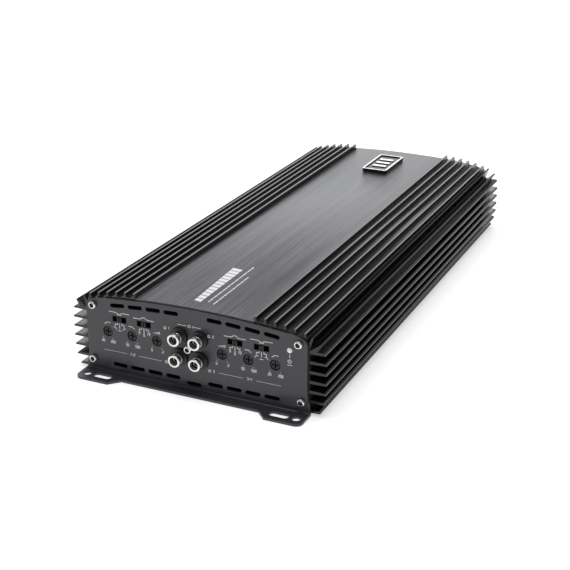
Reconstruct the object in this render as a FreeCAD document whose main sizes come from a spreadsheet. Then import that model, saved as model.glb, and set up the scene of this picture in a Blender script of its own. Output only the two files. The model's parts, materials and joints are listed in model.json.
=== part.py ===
import FreeCAD, Part
import math
import operator
import os

import Sketcher

# Four channel car amplifier: a finned heat sink extrusion closed by two sheet steel end plates
# and a bottom plate, with the boards, the controls and the terminals inside it.
# Frame: millimetres, X right, Y from the control end to the terminal end, Z up. The origin is
# in the middle of the mounting plane under the feet.

# alias, millimetres, meaning
DRIVING_SIZES = [
    # heat sink extrusion
    ("case_length", 372.8, "length of the extrusion"),
    ("wall_outside", 77.2, "half width over the side walls, without fins"),
    ("wall_inside", 73.8, "half width between the side walls"),
    ("case_bottom", 1.8, "underside of the side walls"),
    ("corner_height", 43.8, "where the side wall turns in to the shoulder"),
    ("shoulder_outside", 75.6, "half width where the shoulder arc starts"),
    ("shoulder_centre", 35.0, "half distance between the centres of the shoulder arcs"),
    ("shoulder_radius", 150.0, "radius of the shoulder under the fins"),
    ("shoulder_top", 55.0, "highest level of the shoulder arc"),
    ("recess_half", 41.0, "half width of the recess for the top panel"),
    ("recess_edge", 53.75, "level of the recess at its edge"),
    ("recess_radius", 760.0, "crown radius of the recess"),
    ("roof_half", 72.0, "half width of the arched inner roof"),
    ("roof_edge", 47.4, "level of the inner roof at its edge"),
    ("roof_radius", 501.0, "radius of the inner roof"),
    ("roof_corner", 45.0, "where the inner wall turns in to the roof"),
    # fins
    ("top_fin_first", 41.8, "centre of the innermost top fin"),
    ("top_fin_pitch", 6.45, "pitch of the top fins"),
    ("top_fin_rise", 3.0, "height of a top fin over the shoulder"),
    ("top_fin_tip", 1.3, "thickness of a top fin at its tip"),
    ("top_fin_foot", 1.7, "thickness of a top fin at its foot"),
    ("fin_flare", 0.7, "flare at the foot of a fin"),
    ("fin_sink", 0.6, "how deep the fin blanks reach into the wall"),
    ("side_fin_first", 2.7, "centre level of the lowest side fin"),
    ("side_fin_pitch", 6.46, "pitch of the side fins"),
    ("side_fin_tip", 1.5, "thickness of a side fin at its tip"),
    ("side_fin_foot", 2.1, "thickness of a side fin at its foot"),
    ("side_fin_bevel", 0.9, "bevel along the upper edge of a side fin"),
    ("side_reach_1", 84.3, "half width over side fin 1, the lowest"),
    ("side_reach_2", 86.6, "half width over side fin 2"),
    ("side_reach_3", 87.6, "half width over side fin 3"),
    ("side_reach_4", 87.8, "half width over side fin 4"),
    ("side_reach_5", 87.8, "half width over side fin 5"),
    ("side_reach_6", 87.7, "half width over side fin 6"),
    ("side_reach_7", 87.0, "half width over side fin 7, the highest"),
    # top panel and badge
    ("panel_gap", 0.15, "gap beside the top panel"),
    ("panel_seat", 0.03, "gap under the top panel"),
    ("panel_thickness", 1.0, "thickness of the top panel"),
    ("badge_x", 0.6, "middle of the badge"),
    ("badge_y", 142.0, "middle of the badge along the case"),
    ("badge_width", 21.0, "badge across the case"),
    ("badge_length", 44.0, "badge along the case"),
    ("badge_base", 55.92, "underside of the badge"),
    ("badge_rim_height", 2.8, "height of the badge rim"),
    ("badge_rim_width", 1.7, "width of the badge rim"),
    ("badge_field_height", 1.85, "height of the badge field"),
    ("badge_gap", 0.05, "gap between the field and the rim"),
    ("badge_corner", 2.5, "corner radius of the badge"),
    ("badge_bar_pitch", 9.0, "pitch of the bars on the badge"),
    ("badge_bar_width", 11.6, "a bar across the badge"),
    ("badge_bar_length", 4.0, "a bar along the badge"),
    ("badge_bar_height", 0.7, "height of a bar"),
    # end plates and feet
    ("plate_thickness", 1.6, "sheet thickness of the end plates"),
    ("plate_half", 76.4, "half width of an end plate"),
    ("plate_foot_half", 78.5, "half width of an end plate at its fold"),
    ("plate_flare_level", 13.6, "where the end plate starts to widen"),
    ("plate_arch_half", 68.0, "half width of the arched top edge"),
    ("plate_arch_level", 51.3, "level of the arched top edge at its end"),
    ("plate_arch_radius", 640.0, "radius of the arched top edge"),
    ("plate_corner_x", 73.4, "where the corner arc starts"),
    ("plate_corner_top", 49.4, "upper end of the corner arc"),
    ("plate_corner_low", 45.4, "lower end of the corner arc"),
    ("plate_corner_radius", 4.2, "corner radius of the end plate"),
    ("fold_outside", 1.5, "outer radius of the fold between plate and foot"),
    ("fold_inside", 0.8, "inner radius of the fold between plate and foot"),
    ("foot_depth", 8.3, "depth of the foot flange in the middle"),
    ("ear_depth", 15.0, "depth of the foot ears"),
    ("ear_inner", 54.5, "inner end of an ear"),
    ("ear_slope", 48.0, "where the slope up to an ear starts"),
    ("ear_corner", 4.5, "corner radius of an ear"),
    ("foot_hole_x", 73.0, "middle of the round foot hole"),
    ("foot_hole_radius", 2.75, "radius of the foot holes and half width of the slots"),
    ("foot_slot_x", 61.8, "middle of the foot slot"),
    ("foot_slot_length", 13.0, "length of the foot slot"),
    ("foot_hole_reach", 8.2, "foot holes and slots, distance from the plate"),
    ("vent_length", 10.4, "length of a vent slot"),
    ("vent_width", 2.8, "width of a vent slot"),
    ("vent_pitch", 12.8, "pitch of the vent slots"),
    ("vent_shift", 2.1, "how much farther out the vents stand on both sides"),
    ("vent_top_level", 50.6, "level of the upper vents, on the middle line"),
    ("vent_low_level", 7.3, "level of the lower vents"),
    ("vent_mid_level", 5.0, "level of the vent in the middle"),
    # screws
    ("screw_high_x", 71.0, "upper plate screws"),
    ("screw_high_z", 46.3, "upper plate screws"),
    ("screw_low_x", 72.8, "lower plate screws"),
    ("screw_low_z", 8.7, "lower plate screws"),
    ("screw_head", 2.55, "head radius of a plate screw"),
    ("screw_head_rise", 2.3, "head height of a plate screw"),
    ("screw_shank", 1.4, "shank radius of a case screw"),
    ("screw_length", 10.0, "length of a plate screw under its head"),
    ("screw_port", 3.4, "outer radius of a screw port"),
    ("screw_bore", 1.5, "bore radius of a screw port"),
    ("screw_play", 0.2, "how much wider a hole in a sheet is than a screw port"),
    ("screw_bevel", 0.5, "bevel round a screw head"),
    ("socket_radius", 1.75, "radius of the hexagon socket"),
    ("socket_depth", 1.9, "depth of the hexagon socket"),
    # bottom
    ("floor_thickness", 1.2, "thickness of the bottom plate"),
    ("floor_gap", 0.3, "gap round the bottom plate"),
    ("ledge_inner", 66.8, "inner edge of the ledges over the bottom plate"),
    ("ledge_rise", 2.1, "thickness of the ledges"),
    ("floor_screw_x", 69.8, "bottom plate screws"),
    ("floor_screw_pitch", 110.0, "pitch of the bottom plate screws"),
    ("floor_screw_head", 2.6, "head radius of a bottom plate screw"),
    ("floor_screw_rise", 1.2, "head height of a bottom plate screw"),
    ("floor_screw_length", 3.6, "shank length of a bottom plate screw"),
    ("floor_slot_width", 0.8, "width of a screwdriver slot"),
    ("floor_slot_length", 3.0, "length of the cross slot in a bottom plate screw"),
    ("floor_slot_depth", 0.8, "depth of the cross slot in a bottom plate screw"),
    # boards
    ("board_level", 14.2, "underside of the main board"),
    ("board_thickness", 1.6, "thickness of the boards"),
    ("board_half", 73.2, "half width of the main board"),
    ("board_length", 346.0, "length of the main board"),
    ("rail_inner", 71.8, "inner edge of the board rails"),
    ("rail_thickness", 1.5, "thickness of the board rails"),
    ("rail_root", 1.0, "how deep ledges and rails reach into the wall"),
    ("board_gap", 0.1, "gap between the main board and a rail"),
    ("panel_room", 10.0, "room between the front plate and the control board"),
    ("control_half", 66.5, "half width of the control board"),
    ("control_top", 45.6, "top edge of the control board"),
    ("control_gap", 0.6, "gap between the control board and the main board"),
    ("header_width", 26.0, "pin header"),
    ("header_depth", 2.6, "pin header"),
    ("header_height", 6.0, "pin header"),
    ("chip_y", -138.3, "middle of the driver chips along the case"),
    ("chip_width", 6.4, "driver chip"),
    ("chip_length", 19.5, "driver chip"),
    ("chip_height", 3.5, "driver chip"),
    ("chip_lift", 0.5, "driver chip over the board"),
    ("chip_span", 7.2, "distance between the two rows of chip legs"),
    ("chip_leg_width", 1.0, "chip leg across the row"),
    ("chip_leg_thickness", 0.6, "chip leg along the row"),
    ("leg_pitch", 2.54, "pitch of the legs of chips and transistors"),
    # controls
    ("knob_level", 29.5, "level of the level controls"),
    ("knob_pitch", 17.8, "pitch of the level controls"),
    ("knob_left", -43.4, "middle level control of the left group"),
    ("knob_right", 37.7, "middle level control of the right group"),
    ("knob_hole", 3.5, "radius of the holes for the level controls"),
    ("knob_radius", 2.9, "radius of a level control shaft"),
    ("knob_sink", 0.5, "shaft end behind the face of the plate"),
    ("knob_slot", 0.9, "width of the cross slot"),
    ("knob_slot_depth", 1.3, "depth of the cross slot"),
    ("knob_slot_length", 4.6, "length of the cross slot"),
    ("pot_side", 9.6, "side of a level control housing"),
    ("pot_depth", 6.4, "depth of a level control housing"),
    ("pot_bore_depth", 3.4, "depth of the shaft bearing"),
    ("running_gap", 0.08, "radial clearance of a shaft in its bearing"),
    ("switch_level", 39.1, "level of the slide switches"),
    ("switch_pitch", 17.7, "pitch of the slide switches"),
    ("switch_width", 10.1, "window of a slide switch"),
    ("switch_height", 3.9, "window of a slide switch"),
    ("switch_body_width", 13.6, "slide switch housing"),
    ("switch_body_height", 7.0, "slide switch housing"),
    ("switch_body_depth", 8.3, "slide switch housing"),
    ("slider_width", 3.1, "slide switch knob"),
    ("slider_height", 3.0, "slide switch knob"),
    ("slider_proud", 0.4, "slide switch knob in front of the plate"),
    ("slider_foot_width", 6.0, "foot of the slider inside the housing"),
    ("slider_foot_height", 3.2, "foot of the slider inside the housing"),
    ("slider_foot_depth", 2.0, "foot of the slider inside the housing"),
    ("slider_travel", 2.3, "travel of a slide switch each way"),
    ("slider_end_gap", 0.4, "room left past the travel"),
    ("slider_play", 0.1, "gap round the slider in its housing"),
    ("slider_groove", 0.6, "width and depth of the groove across the knob"),
    ("switch_wall", 1.0, "front wall of a slide switch housing"),
    ("lamp_x", 65.0, "status lamp"),
    ("lamp_z", 41.1, "status lamp"),
    ("lamp_radius", 1.7, "status lamp"),
    ("lamp_proud", 0.9, "status lamp in front of the plate"),
    ("lamp_gap", 0.1, "gap round the lamp in the plate"),
    ("lamp_dome", 0.7, "height of the lamp's bevelled front"),
    ("lamp_stem", 4.0, "length of the lamp's stem"),
    ("lamp_leg", 0.5, "side of a lamp leg"),
    ("lamp_leg_span", 1.8, "distance between the lamp legs"),
    # signal inputs
    ("input_x", -2.3, "middle of the four input sockets"),
    ("input_z", 29.3, "middle of the four input sockets"),
    ("input_pitch", 14.1, "pitch of the input sockets"),
    ("input_proud", 8.4, "input sockets in front of the plate"),
    ("input_radius", 4.15, "outer radius of an input socket"),
    ("input_neck", 3.4, "radius of the input socket behind its collar"),
    ("input_bore", 2.8, "inner radius of an input socket"),
    ("input_collar", 1.2, "length of the input socket's collar"),
    ("input_bevel", 0.35, "bevel round the collar"),
    ("input_ring", 3.7, "radius of the ring round the neck"),
    ("input_ring_place", 2.8, "from the collar to the ring"),
    ("input_ring_width", 0.8, "width of the ring"),
    ("input_seat", 5.0, "depth of a socket in its boss"),
    ("input_boss", 5.6, "radius of the plastic boss round a socket"),
    ("input_boss_proud", 1.5, "plastic bosses in front of the plate"),
    ("centre_boss", 3.0, "radius of the boss round the screw of the input block"),
    ("boss_gap", 0.15, "gap round the bosses in the plate"),
    ("input_screw_length", 7.4, "length of the input block's screw"),
    ("input_block", 29.0, "side of the input block"),
    ("input_core", 2.3, "radius of the insulating core"),
    ("input_core_back", 3.2, "core end behind the socket's rim"),
    ("input_pin_bore", 1.55, "bore of the centre contact"),
    ("input_core_flange", 2.0, "thickness of the core's flange"),
    ("input_pin_wall", 0.3, "wall of the centre contact"),
    ("input_pin_length", 7.9, "length of the centre contact"),
    ("input_pin_depth", 3.6, "depth of the centre contact's bore"),
    ("hair_gap", 0.02, "gap between parts pressed into each other"),
    # terminal end
    ("block_proud", 13.0, "terminal blocks behind the rear plate"),
    ("block_inside", 26.0, "terminal blocks in front of the rear plate"),
    ("block_gap", 0.35, "gap round the terminal blocks in the rear plate"),
    ("block_side", 0.8, "plastic beside the outer terminals"),
    ("block_floor", 1.6, "plastic under the wire entries"),
    ("block_groove", 0.7, "width of the grooves between the terminals"),
    ("block_groove_length", 12.0, "length of the grooves"),
    ("block_groove_depth", 1.2, "depth of the grooves"),
    ("speaker_x", -38.0, "middle of the speaker block"),
    ("speaker_pitch", 8.2, "pitch of the speaker terminals"),
    ("speaker_height", 14.6, "height of the speaker block"),
    ("speaker_entry", 6.4, "side of a speaker wire entry"),
    ("speaker_screw", 1.9, "radius of a speaker clamp screw"),
    ("supply_x", 50.0, "middle of the supply block"),
    ("supply_pitch", 13.2, "pitch of the supply terminals"),
    ("supply_height", 18.0, "height of the supply block"),
    ("supply_entry", 8.6, "side of a supply wire entry"),
    ("supply_screw", 2.7, "radius of a supply clamp screw"),
    ("clamp_wall", 0.9, "wall of a terminal clamp"),
    ("clamp_sink", 0.8, "terminal clamp behind the face of its block"),
    ("clamp_extra", 4.0, "how much deeper a terminal clamp is than its entry is wide"),
    ("screw_well", 0.35, "gap round a clamp screw in its block"),
    ("set_screw_sink", 0.6, "clamp screw under the top of its block"),
    ("set_screw_slot", 0.9, "width of the slot in a clamp screw"),
    ("set_screw_slot_depth", 1.3, "depth of the slot in a clamp screw"),
    ("fuse_x", 13.2, "middle of the fuse holder"),
    ("fuse_pitch", 8.6, "pitch of the fuses"),
    ("fuse_width", 19.1, "width of a blade fuse"),
    ("fuse_thickness", 5.1, "thickness of a blade fuse"),
    ("fuse_proud", 8.5, "fuses behind the rear plate"),
    ("fuse_body", 11.5, "depth of a fuse's plastic body"),
    ("fuse_cap", 4.0, "depth of the wide head of a fuse"),
    ("fuse_step", 0.8, "how much narrower a fuse is under its head, each side"),
    ("fuse_window_width", 2.8, "window in the head of a fuse"),
    ("fuse_window_length", 6.8, "window in the head of a fuse"),
    ("fuse_window_depth", 1.5, "window in the head of a fuse"),
    ("fuse_gap", 0.3, "gap round a fuse in its holder"),
    ("fuse_margin", 1.5, "holder over and under a fuse"),
    ("fuse_blade_span", 11.2, "distance between the two blades of a fuse"),
    ("fuse_blade_root", 3.0, "fuse blade inside the plastic"),
    ("fuse_slot_width", 3.2, "slot in the holder for a blade and its clip"),
    ("clip_sheet", 0.8, "thickness of a fuse clip"),
    ("clip_width", 4.4, "width of a fuse clip"),
    ("fuse_blade_width", 5.2, "width of a fuse blade"),
    ("fuse_blade_thickness", 0.65, "thickness of a fuse blade"),
    ("fuse_blade_length", 7.2, "length of a fuse blade"),
    ("fuse_holder_proud", 3.0, "fuse holder behind the rear plate"),
    # power parts
    ("transistor_width", 10.0, "power transistor"),
    ("transistor_depth", 4.5, "power transistor"),
    ("transistor_height", 15.6, "power transistor"),
    ("transistor_level", 20.0, "underside of the power transistors"),
    ("transistor_pitch", 15.0, "pitch of the power transistors"),
    ("transistor_body", 9.2, "height of a power transistor's plastic body"),
    ("tab_thickness", 1.4, "metal tab of a power transistor"),
    ("tab_lift", 0.5, "metal tab over the foot of the plastic body"),
    ("tab_hole", 1.8, "radius of the hole in a tab"),
    ("tab_hole_drop", 3.0, "hole under the top edge of a tab"),
    ("transistor_leg", 0.75, "side of a transistor leg"),
    ("leg_setback", 2.9, "transistor legs from the metal back"),
    ("bank_y", 70.0, "middle of a transistor bank from the middle of the case"),
    ("pad_thickness", 0.3, "thermal pad"),
    ("pad_margin", 1.0, "thermal pad past the transistors"),
    ("clamp_thickness", 1.5, "clamp bar"),
    ("clamp_height", 7.0, "clamp bar"),
    ("clamp_lift", 1.1, "clamp bar over the foot of the transistors"),
    ("clamp_screw_rise", 2.0, "head height of a clamp bar screw"),
    ("clamp_screw_tip", 1.2, "clamp bar screw inside the wall"),
    ("clamp_tap", 1.4, "depth of the threaded hole in the wall"),
    ("ring_x", 8.0, "middle of the wound transformer"),
    ("ring_y", 96.0, "middle of the wound transformer along the case"),
    ("ring_lift", 0.5, "wound transformer over the board"),
    ("ring_outer", 29.0, "outer radius of the wound transformer"),
    ("ring_inner", 9.0, "inner radius of the wound transformer"),
    ("ring_height", 27.0, "height of the wound transformer"),
    ("winding_thickness", 3.0, "thickness of the winding"),
    ("big_can", 9.0, "radius of a supply capacitor"),
    ("big_can_height", 28.0, "height of a supply capacitor"),
    ("big_can_x", 38.0, "half distance between the two rows of supply capacitors"),
    ("big_can_first", -22.0, "first supply capacitor of a row"),
    ("big_can_pitch", 21.0, "pitch of the supply capacitors"),
    ("small_can", 6.2, "radius of a rail capacitor"),
    ("small_can_height", 22.0, "height of a rail capacitor"),
    ("small_can_near", 27.0, "inner rail capacitors from the middle line"),
    ("small_can_far", 45.0, "outer rail capacitors from the middle line"),
    ("small_can_front", -104.0, "front rail capacitors along the case"),
    ("small_can_back", -84.0, "back rail capacitors along the case"),
    ("crimp_level", 3.0, "level of the crimped groove round a capacitor"),
    ("crimp_radius", 0.8, "radius of the tool that crimps the groove"),
    ("crimp_offset", 0.35, "middle of that tool outside the can"),
    ("choke_outer", 7.0, "outer radius of an output choke"),
    ("choke_inner", 3.0, "inner radius of an output choke"),
    ("choke_height", 9.0, "height of an output choke"),
    ("choke_first", -62.0, "first output choke"),
    ("choke_pitch", 18.0, "pitch of the output chokes"),
    ("choke_y", 142.0, "output chokes along the case"),
]

# corners of the two slanted fins, as offsets outwards and upwards from the wall's upper corner
UPPER_CORNER_FIN = [(-1.0, -0.3), (0.1, -0.2), (2.3, 7.0), (1.2, 7.4), (-1.2, 2.2)]
LOWER_CORNER_FIN = [(-1.0, -2.6), (4.4, -2.2), (7.7, 2.9), (6.8, 3.7), (0.8, -0.9), (-1.0, -1.2)]

HEADER_PLACES = [-48.0, -2.0, 42.0]
CHIP_PLACES = [-50.0, -20.0, 10.0, 40.0]
KNOB_NAMES = ["highpass_shaft_a", "lowpass_shaft_a", "gain_shaft_a",
              "gain_shaft_b", "lowpass_shaft_b", "highpass_shaft_b"]
SLIDER_NAMES = ["crossover_slider_a", "boost_slider_a", "boost_slider_b", "crossover_slider_b"]

PAST = 1.0      # how far a cutter reaches past the face it opens
OVERLAP = 0.1   # how far a joined piece reaches into its neighbour

SHEET_NAME = "Sizes"
OPERATIONS = {"+": operator.add, "-": operator.sub, "*": operator.mul, "/": operator.truediv}
TURNS = {
    "X": FreeCAD.Rotation(FreeCAD.Vector(0, 1, 0), 90),
    "Y": FreeCAD.Rotation(FreeCAD.Vector(1, 0, 0), -90),
    "Z": FreeCAD.Rotation(),
}
HALF_TURN = FreeCAD.Rotation(FreeCAD.Vector(0, 0, 1), 180)

doc = FreeCAD.newDocument("car_amplifier")
sub_parts = []


# ---------------------------------------------------------------- sizes that know their formula

class Dim:
    """A number with the sheet expression that gives it."""

    def __init__(self, value, text):
        self.value = value
        self.text = text

    def __add__(self, other):
        return combine(self, "+", other)

    def __radd__(self, other):
        return combine(other, "+", self)

    def __sub__(self, other):
        return combine(self, "-", other)

    def __rsub__(self, other):
        return combine(other, "-", self)

    def __mul__(self, other):
        return combine(self, "*", other)

    def __rmul__(self, other):
        return combine(other, "*", self)

    def __truediv__(self, other):
        return combine(self, "/", other)

    def __neg__(self):
        return combine(-1, "*", self)

    def from_sheet(self):
        return SHEET_NAME in self.text


def as_dim(number):
    if isinstance(number, Dim):
        return number
    return Dim(float(number), "({:.6g})".format(number))


def combine(left, sign, right):
    left = as_dim(left)
    right = as_dim(right)
    value = OPERATIONS[sign](left.value, right.value)
    return Dim(value, "({} {} {})".format(left.text, sign, right.text))


def root(inside):
    return Dim(math.sqrt(inside.value), "sqrt({})".format(inside.text))


def ordered(first, second):
    """Two sizes as a pair, the lower one first."""
    return sorted((as_dim(first), as_dim(second)), key=lambda number: number.value)


def around(middle, half):
    """The limits of a stretch on both sides of a middle."""
    return middle - half, middle + half


class SizeTable:
    """The spreadsheet: size.case_length is the cell with that alias, as a Dim."""

    def __init__(self):
        sheet = doc.addObject("Spreadsheet::Sheet", SHEET_NAME)
        for row, (alias, value, meaning) in enumerate(DRIVING_SIZES, start=1):
            sheet.set("A{}".format(row), alias)
            sheet.set("B{}".format(row), str(value))
            sheet.set("C{}".format(row), meaning)
            sheet.setAlias("B{}".format(row), alias)
            setattr(self, alias, Dim(value, "{}.{}".format(SHEET_NAME, alias)))


def bind(thing, name, number):
    """Set a property, or bind it when the number comes from the sheet."""
    number = as_dim(number)
    if number.from_sheet():
        thing.setExpression(name, number.text)
    else:
        setattr(thing, name, number.value)


def settle(thing, at, turn=None):
    """Put a thing at a point, each coordinate bound to its formula."""
    spot = [as_dim(number) for number in at]
    corner = FreeCAD.Vector(*[number.value for number in spot])
    thing.Placement = FreeCAD.Placement(corner, turn or FreeCAD.Rotation())
    for axis, number in zip("xyz", spot):
        if number.from_sheet():
            thing.setExpression("Placement.Base." + axis, number.text)
    return thing


# ---------------------------------------------------------------- primitives and booleans

def box(x, y, z):
    """A block between two values along each axis."""
    block = doc.addObject("Part::Box", "Block")
    bind(block, "Length", as_dim(x[1]) - x[0])
    bind(block, "Width", as_dim(y[1]) - y[0])
    bind(block, "Height", as_dim(z[1]) - z[0])
    return settle(block, (x[0], y[0], z[0]))


def rod(axis, radius, at, length):
    """A cylinder that starts at a point and runs along an axis."""
    cylinder = doc.addObject("Part::Cylinder", "Rod")
    bind(cylinder, "Radius", radius)
    bind(cylinder, "Height", length)
    return settle(cylinder, at, TURNS[axis])


def cone(axis, first_radius, last_radius, at, length):
    taper = doc.addObject("Part::Cone", "Taper")
    bind(taper, "Radius1", first_radius)
    bind(taper, "Radius2", last_radius)
    bind(taper, "Height", length)
    return settle(taper, at, TURNS[axis])


def hexagon(axis, radius, at, length):
    prism = doc.addObject("Part::Prism", "Hexagon")
    prism.Polygon = 6
    bind(prism, "Circumradius", radius)
    bind(prism, "Height", length)
    return settle(prism, at, TURNS[axis])


def fuse(pieces):
    if len(pieces) == 1:
        return pieces[0]
    joined = doc.addObject("Part::MultiFuse", "Joined")
    joined.Shapes = pieces
    return joined


def cut(base, tools):
    trimmed = doc.addObject("Part::Cut", "Trimmed")
    trimmed.Base = base
    trimmed.Tool = fuse(tools)
    return trimmed


def group(pieces):
    """Separate solids kept in one sub-part."""
    bunch = doc.addObject("Part::Compound", "Bunch")
    bunch.Links = pieces
    return bunch


def sub_part(name, thing):
    thing.Label = name
    sub_parts.append(thing)
    return thing


# ---------------------------------------------------------------- sketches

class Drawing:
    """A sketch on one of a body's own origin planes, with every size constrained."""

    def __init__(self, body, name, role):
        self.sketch = body.newObject("Sketcher::SketchObject", name)
        plane = [f for f in body.Origin.OriginFeatures if f.Role == role][0]
        self.sketch.AttachmentSupport = [(plane, "")]
        self.sketch.MapMode = "FlatFace"
        self.constraints = []
        self.numbers = []

    def hold(self, kind, geometry, point, number):
        number = as_dim(number)
        if kind == "Radius":
            constraint = Sketcher.Constraint(kind, geometry, number.value)
        else:
            constraint = Sketcher.Constraint(kind, -1, 1, geometry, point, number.value)
        self.constraints.append(constraint)
        self.numbers.append(number)

    def circle(self, radius, u, v):
        middle = FreeCAD.Vector(as_dim(u).value, as_dim(v).value, 0)
        normal = FreeCAD.Vector(0, 0, 1)
        geometry = self.sketch.addGeometry(Part.Circle(middle, normal, as_dim(radius).value))
        self.hold("DistanceX", geometry, 3, u)
        self.hold("DistanceY", geometry, 3, v)
        self.hold("Radius", geometry, 0, radius)

    def outline(self, corners):
        """A closed loop. A corner is (u, v), or (u, v, r) where an arc of radius r leads on
        from it: counter-clockwise for a positive r, clockwise for a negative one. A fourth
        number is where the arc's centre lies along u, which then sets its radius."""
        spots = []
        for corner in corners:
            spots.append(FreeCAD.Vector(as_dim(corner[0]).value, as_dim(corner[1]).value, 0))
        ends = []
        for index, corner in enumerate(corners):
            here = spots[index]
            there = spots[(index + 1) % len(spots)]
            if len(corner) > 2:
                ends.append(self.arc(here, there, *corner[2:]))
            else:
                ends.append((self.sketch.addGeometry(Part.LineSegment(here, there)), 1, 2))
        for index, (geometry, start, _) in enumerate(ends):
            before, _, end = ends[index - 1]
            joint = Sketcher.Constraint("Coincident", before, end, geometry, start)
            self.constraints.append(joint)
            self.numbers.append(None)
            self.hold("DistanceX", geometry, start, corners[index][0])
            self.hold("DistanceY", geometry, start, corners[index][1])

    def arc(self, here, there, radius, centre_u=None):
        radius = as_dim(radius)
        length = abs(radius.value)
        side = 1 if radius.value > 0 else -1
        chord = there - here
        left = FreeCAD.Vector(-chord.y, chord.x, 0).normalize()
        rise = math.sqrt(max(length ** 2 - (chord.Length / 2) ** 2, 0.0))
        middle = (here + there) * 0.5 + left * (rise * side)
        first, last = (here, there) if side > 0 else (there, here)
        angles = [math.atan2(p.y - middle.y, p.x - middle.x) for p in (first, last)]
        circle = Part.Circle(middle, FreeCAD.Vector(0, 0, 1), length)
        geometry = self.sketch.addGeometry(Part.ArcOfCircle(circle, angles[0], angles[1]))
        if centre_u is None:
            self.hold("Radius", geometry, 0, radius * side)
        else:
            self.hold("DistanceX", geometry, 3, centre_u)
        return (geometry, 1, 2) if side > 0 else (geometry, 2, 1)

    def rectangle(self, u, v):
        self.outline([(u[0], v[0]), (u[1], v[0]), (u[1], v[1]), (u[0], v[1])])

    def slot(self, u, v, length, width, drop=0.0):
        """A slot with round ends about (u, v), whose right end lies lower by drop."""
        reach = (length - width) / 2
        half = width / 2
        left = v + drop / 2
        right = v - drop / 2
        self.outline([
            (u - reach, left - half),
            (u + reach, right - half, half, u + reach),
            (u + reach, right + half),
            (u - reach, left + half, half, u - reach),
        ])

    def finish(self):
        indices = self.sketch.addConstraint(self.constraints)
        for index, number in zip(indices, self.numbers):
            if number is not None and number.from_sheet():
                self.sketch.setExpression("Constraints[{}]".format(index), number.text)
        return self.sketch


def pad(body, name, sketch, length, reverse=False):
    feature = body.newObject("PartDesign::Pad", name)
    feature.Profile = sketch
    bind(feature, "Length", length)
    feature.Reversed = reverse
    body.Tip = feature
    return feature


def pocket(body, name, sketch):
    """Cut a sketch right through the body, both ways from its plane."""
    feature = body.newObject("PartDesign::Pocket", name)
    feature.Profile = sketch
    feature.Type = "ThroughAll"
    feature.Midplane = True
    body.Tip = feature
    return feature


def mirror(body, name, features):
    feature = body.newObject("PartDesign::Mirrored", name)
    feature.Originals = features
    plane = [f for f in body.Origin.OriginFeatures if f.Role == "YZ_Plane"][0]
    feature.MirrorPlane = (plane, [""])
    body.Tip = feature
    return feature


def fillet(body, name, radius, wanted):
    """Round the edges of the body's last feature that a test picks."""
    doc.recompute()
    base = body.Tip
    names = ["Edge{}".format(index) for index, edge in enumerate(base.Shape.Edges, start=1)
             if wanted(edge)]
    feature = body.newObject("PartDesign::Fillet", name)
    feature.Base = (base, names)
    bind(feature, "Radius", radius)
    body.Tip = feature
    return feature


size = SizeTable()
doc.recompute()

case_front = -size.case_length / 2
case_back = size.case_length / 2
face = case_front - size.plate_thickness
back_face = case_back + size.plate_thickness
ledge_low = size.case_bottom + size.floor_thickness
board_top = size.board_level + size.board_thickness
control_face = case_front + size.panel_room
control_back = control_face + size.board_thickness
switch_front = control_face - size.switch_body_depth
switch_room = switch_front + size.switch_wall
clamp_back = size.pad_thickness + size.transistor_depth
clamp_low = size.transistor_level + size.clamp_lift
clamp_level = clamp_low + size.clamp_height / 2
plate_screw_places = [(side * x, z) for side in (-1, 1)
                      for x, z in ((size.screw_high_x, size.screw_high_z),
                                   (size.screw_low_x, size.screw_low_z))]
floor_screw_places = [size.floor_screw_pitch * step for step in (-1.5, -0.5, 0.5, 1.5)]
clamp_screw_places = [bank * size.bank_y + size.transistor_pitch * step
                      for bank in (-1, 1) for step in (-1, 1)]
knob_places = [centre + size.knob_pitch * step
               for centre in (size.knob_left, size.knob_right) for step in (-1, 0, 1)]
switch_places = [centre + size.switch_pitch * step
                 for centre in (size.knob_left, size.knob_right) for step in (-0.5, 0.5)]
input_places = [(size.input_x + size.input_pitch * i, size.input_z + size.input_pitch * k)
                for i in (-0.5, 0.5) for k in (-0.5, 0.5)]


# ---------------------------------------------------------------- heat sink extrusion

def shoulder_level(x):
    """Level of the shoulder arc at a distance from the middle of the case."""
    across = x - size.shoulder_centre
    drop = size.shoulder_radius - root(size.shoulder_radius * size.shoulder_radius
                                       - across * across)
    return size.shoulder_top - drop


def extrusion_shell(body):
    """The section without its fins: an arched roof on two walls, open below."""
    drawing = Drawing(body, "shell_section", "XZ_Plane")
    right = [
        (size.wall_outside, size.case_bottom),
        (size.wall_outside, size.corner_height),
        (size.shoulder_outside, shoulder_level(size.shoulder_outside), size.shoulder_radius),
        (size.recess_half, shoulder_level(size.recess_half)),
        (size.recess_half, size.recess_edge, size.recess_radius),
    ]
    left = [
        (-size.recess_half, size.recess_edge),
        (-size.recess_half, shoulder_level(size.recess_half), size.shoulder_radius),
        (-size.shoulder_outside, shoulder_level(size.shoulder_outside)),
        (-size.wall_outside, size.corner_height),
        (-size.wall_outside, size.case_bottom),
    ]
    inside = [
        (-size.wall_inside, size.case_bottom),
        (-size.wall_inside, size.roof_corner),
        (-size.roof_half, size.roof_edge, -size.roof_radius),
        (size.roof_half, size.roof_edge),
        (size.wall_inside, size.roof_corner),
        (size.wall_inside, size.case_bottom),
    ]
    drawing.outline(right + left + inside)
    return pad(body, "shell", drawing.finish(), size.case_length, reverse=True)


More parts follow.
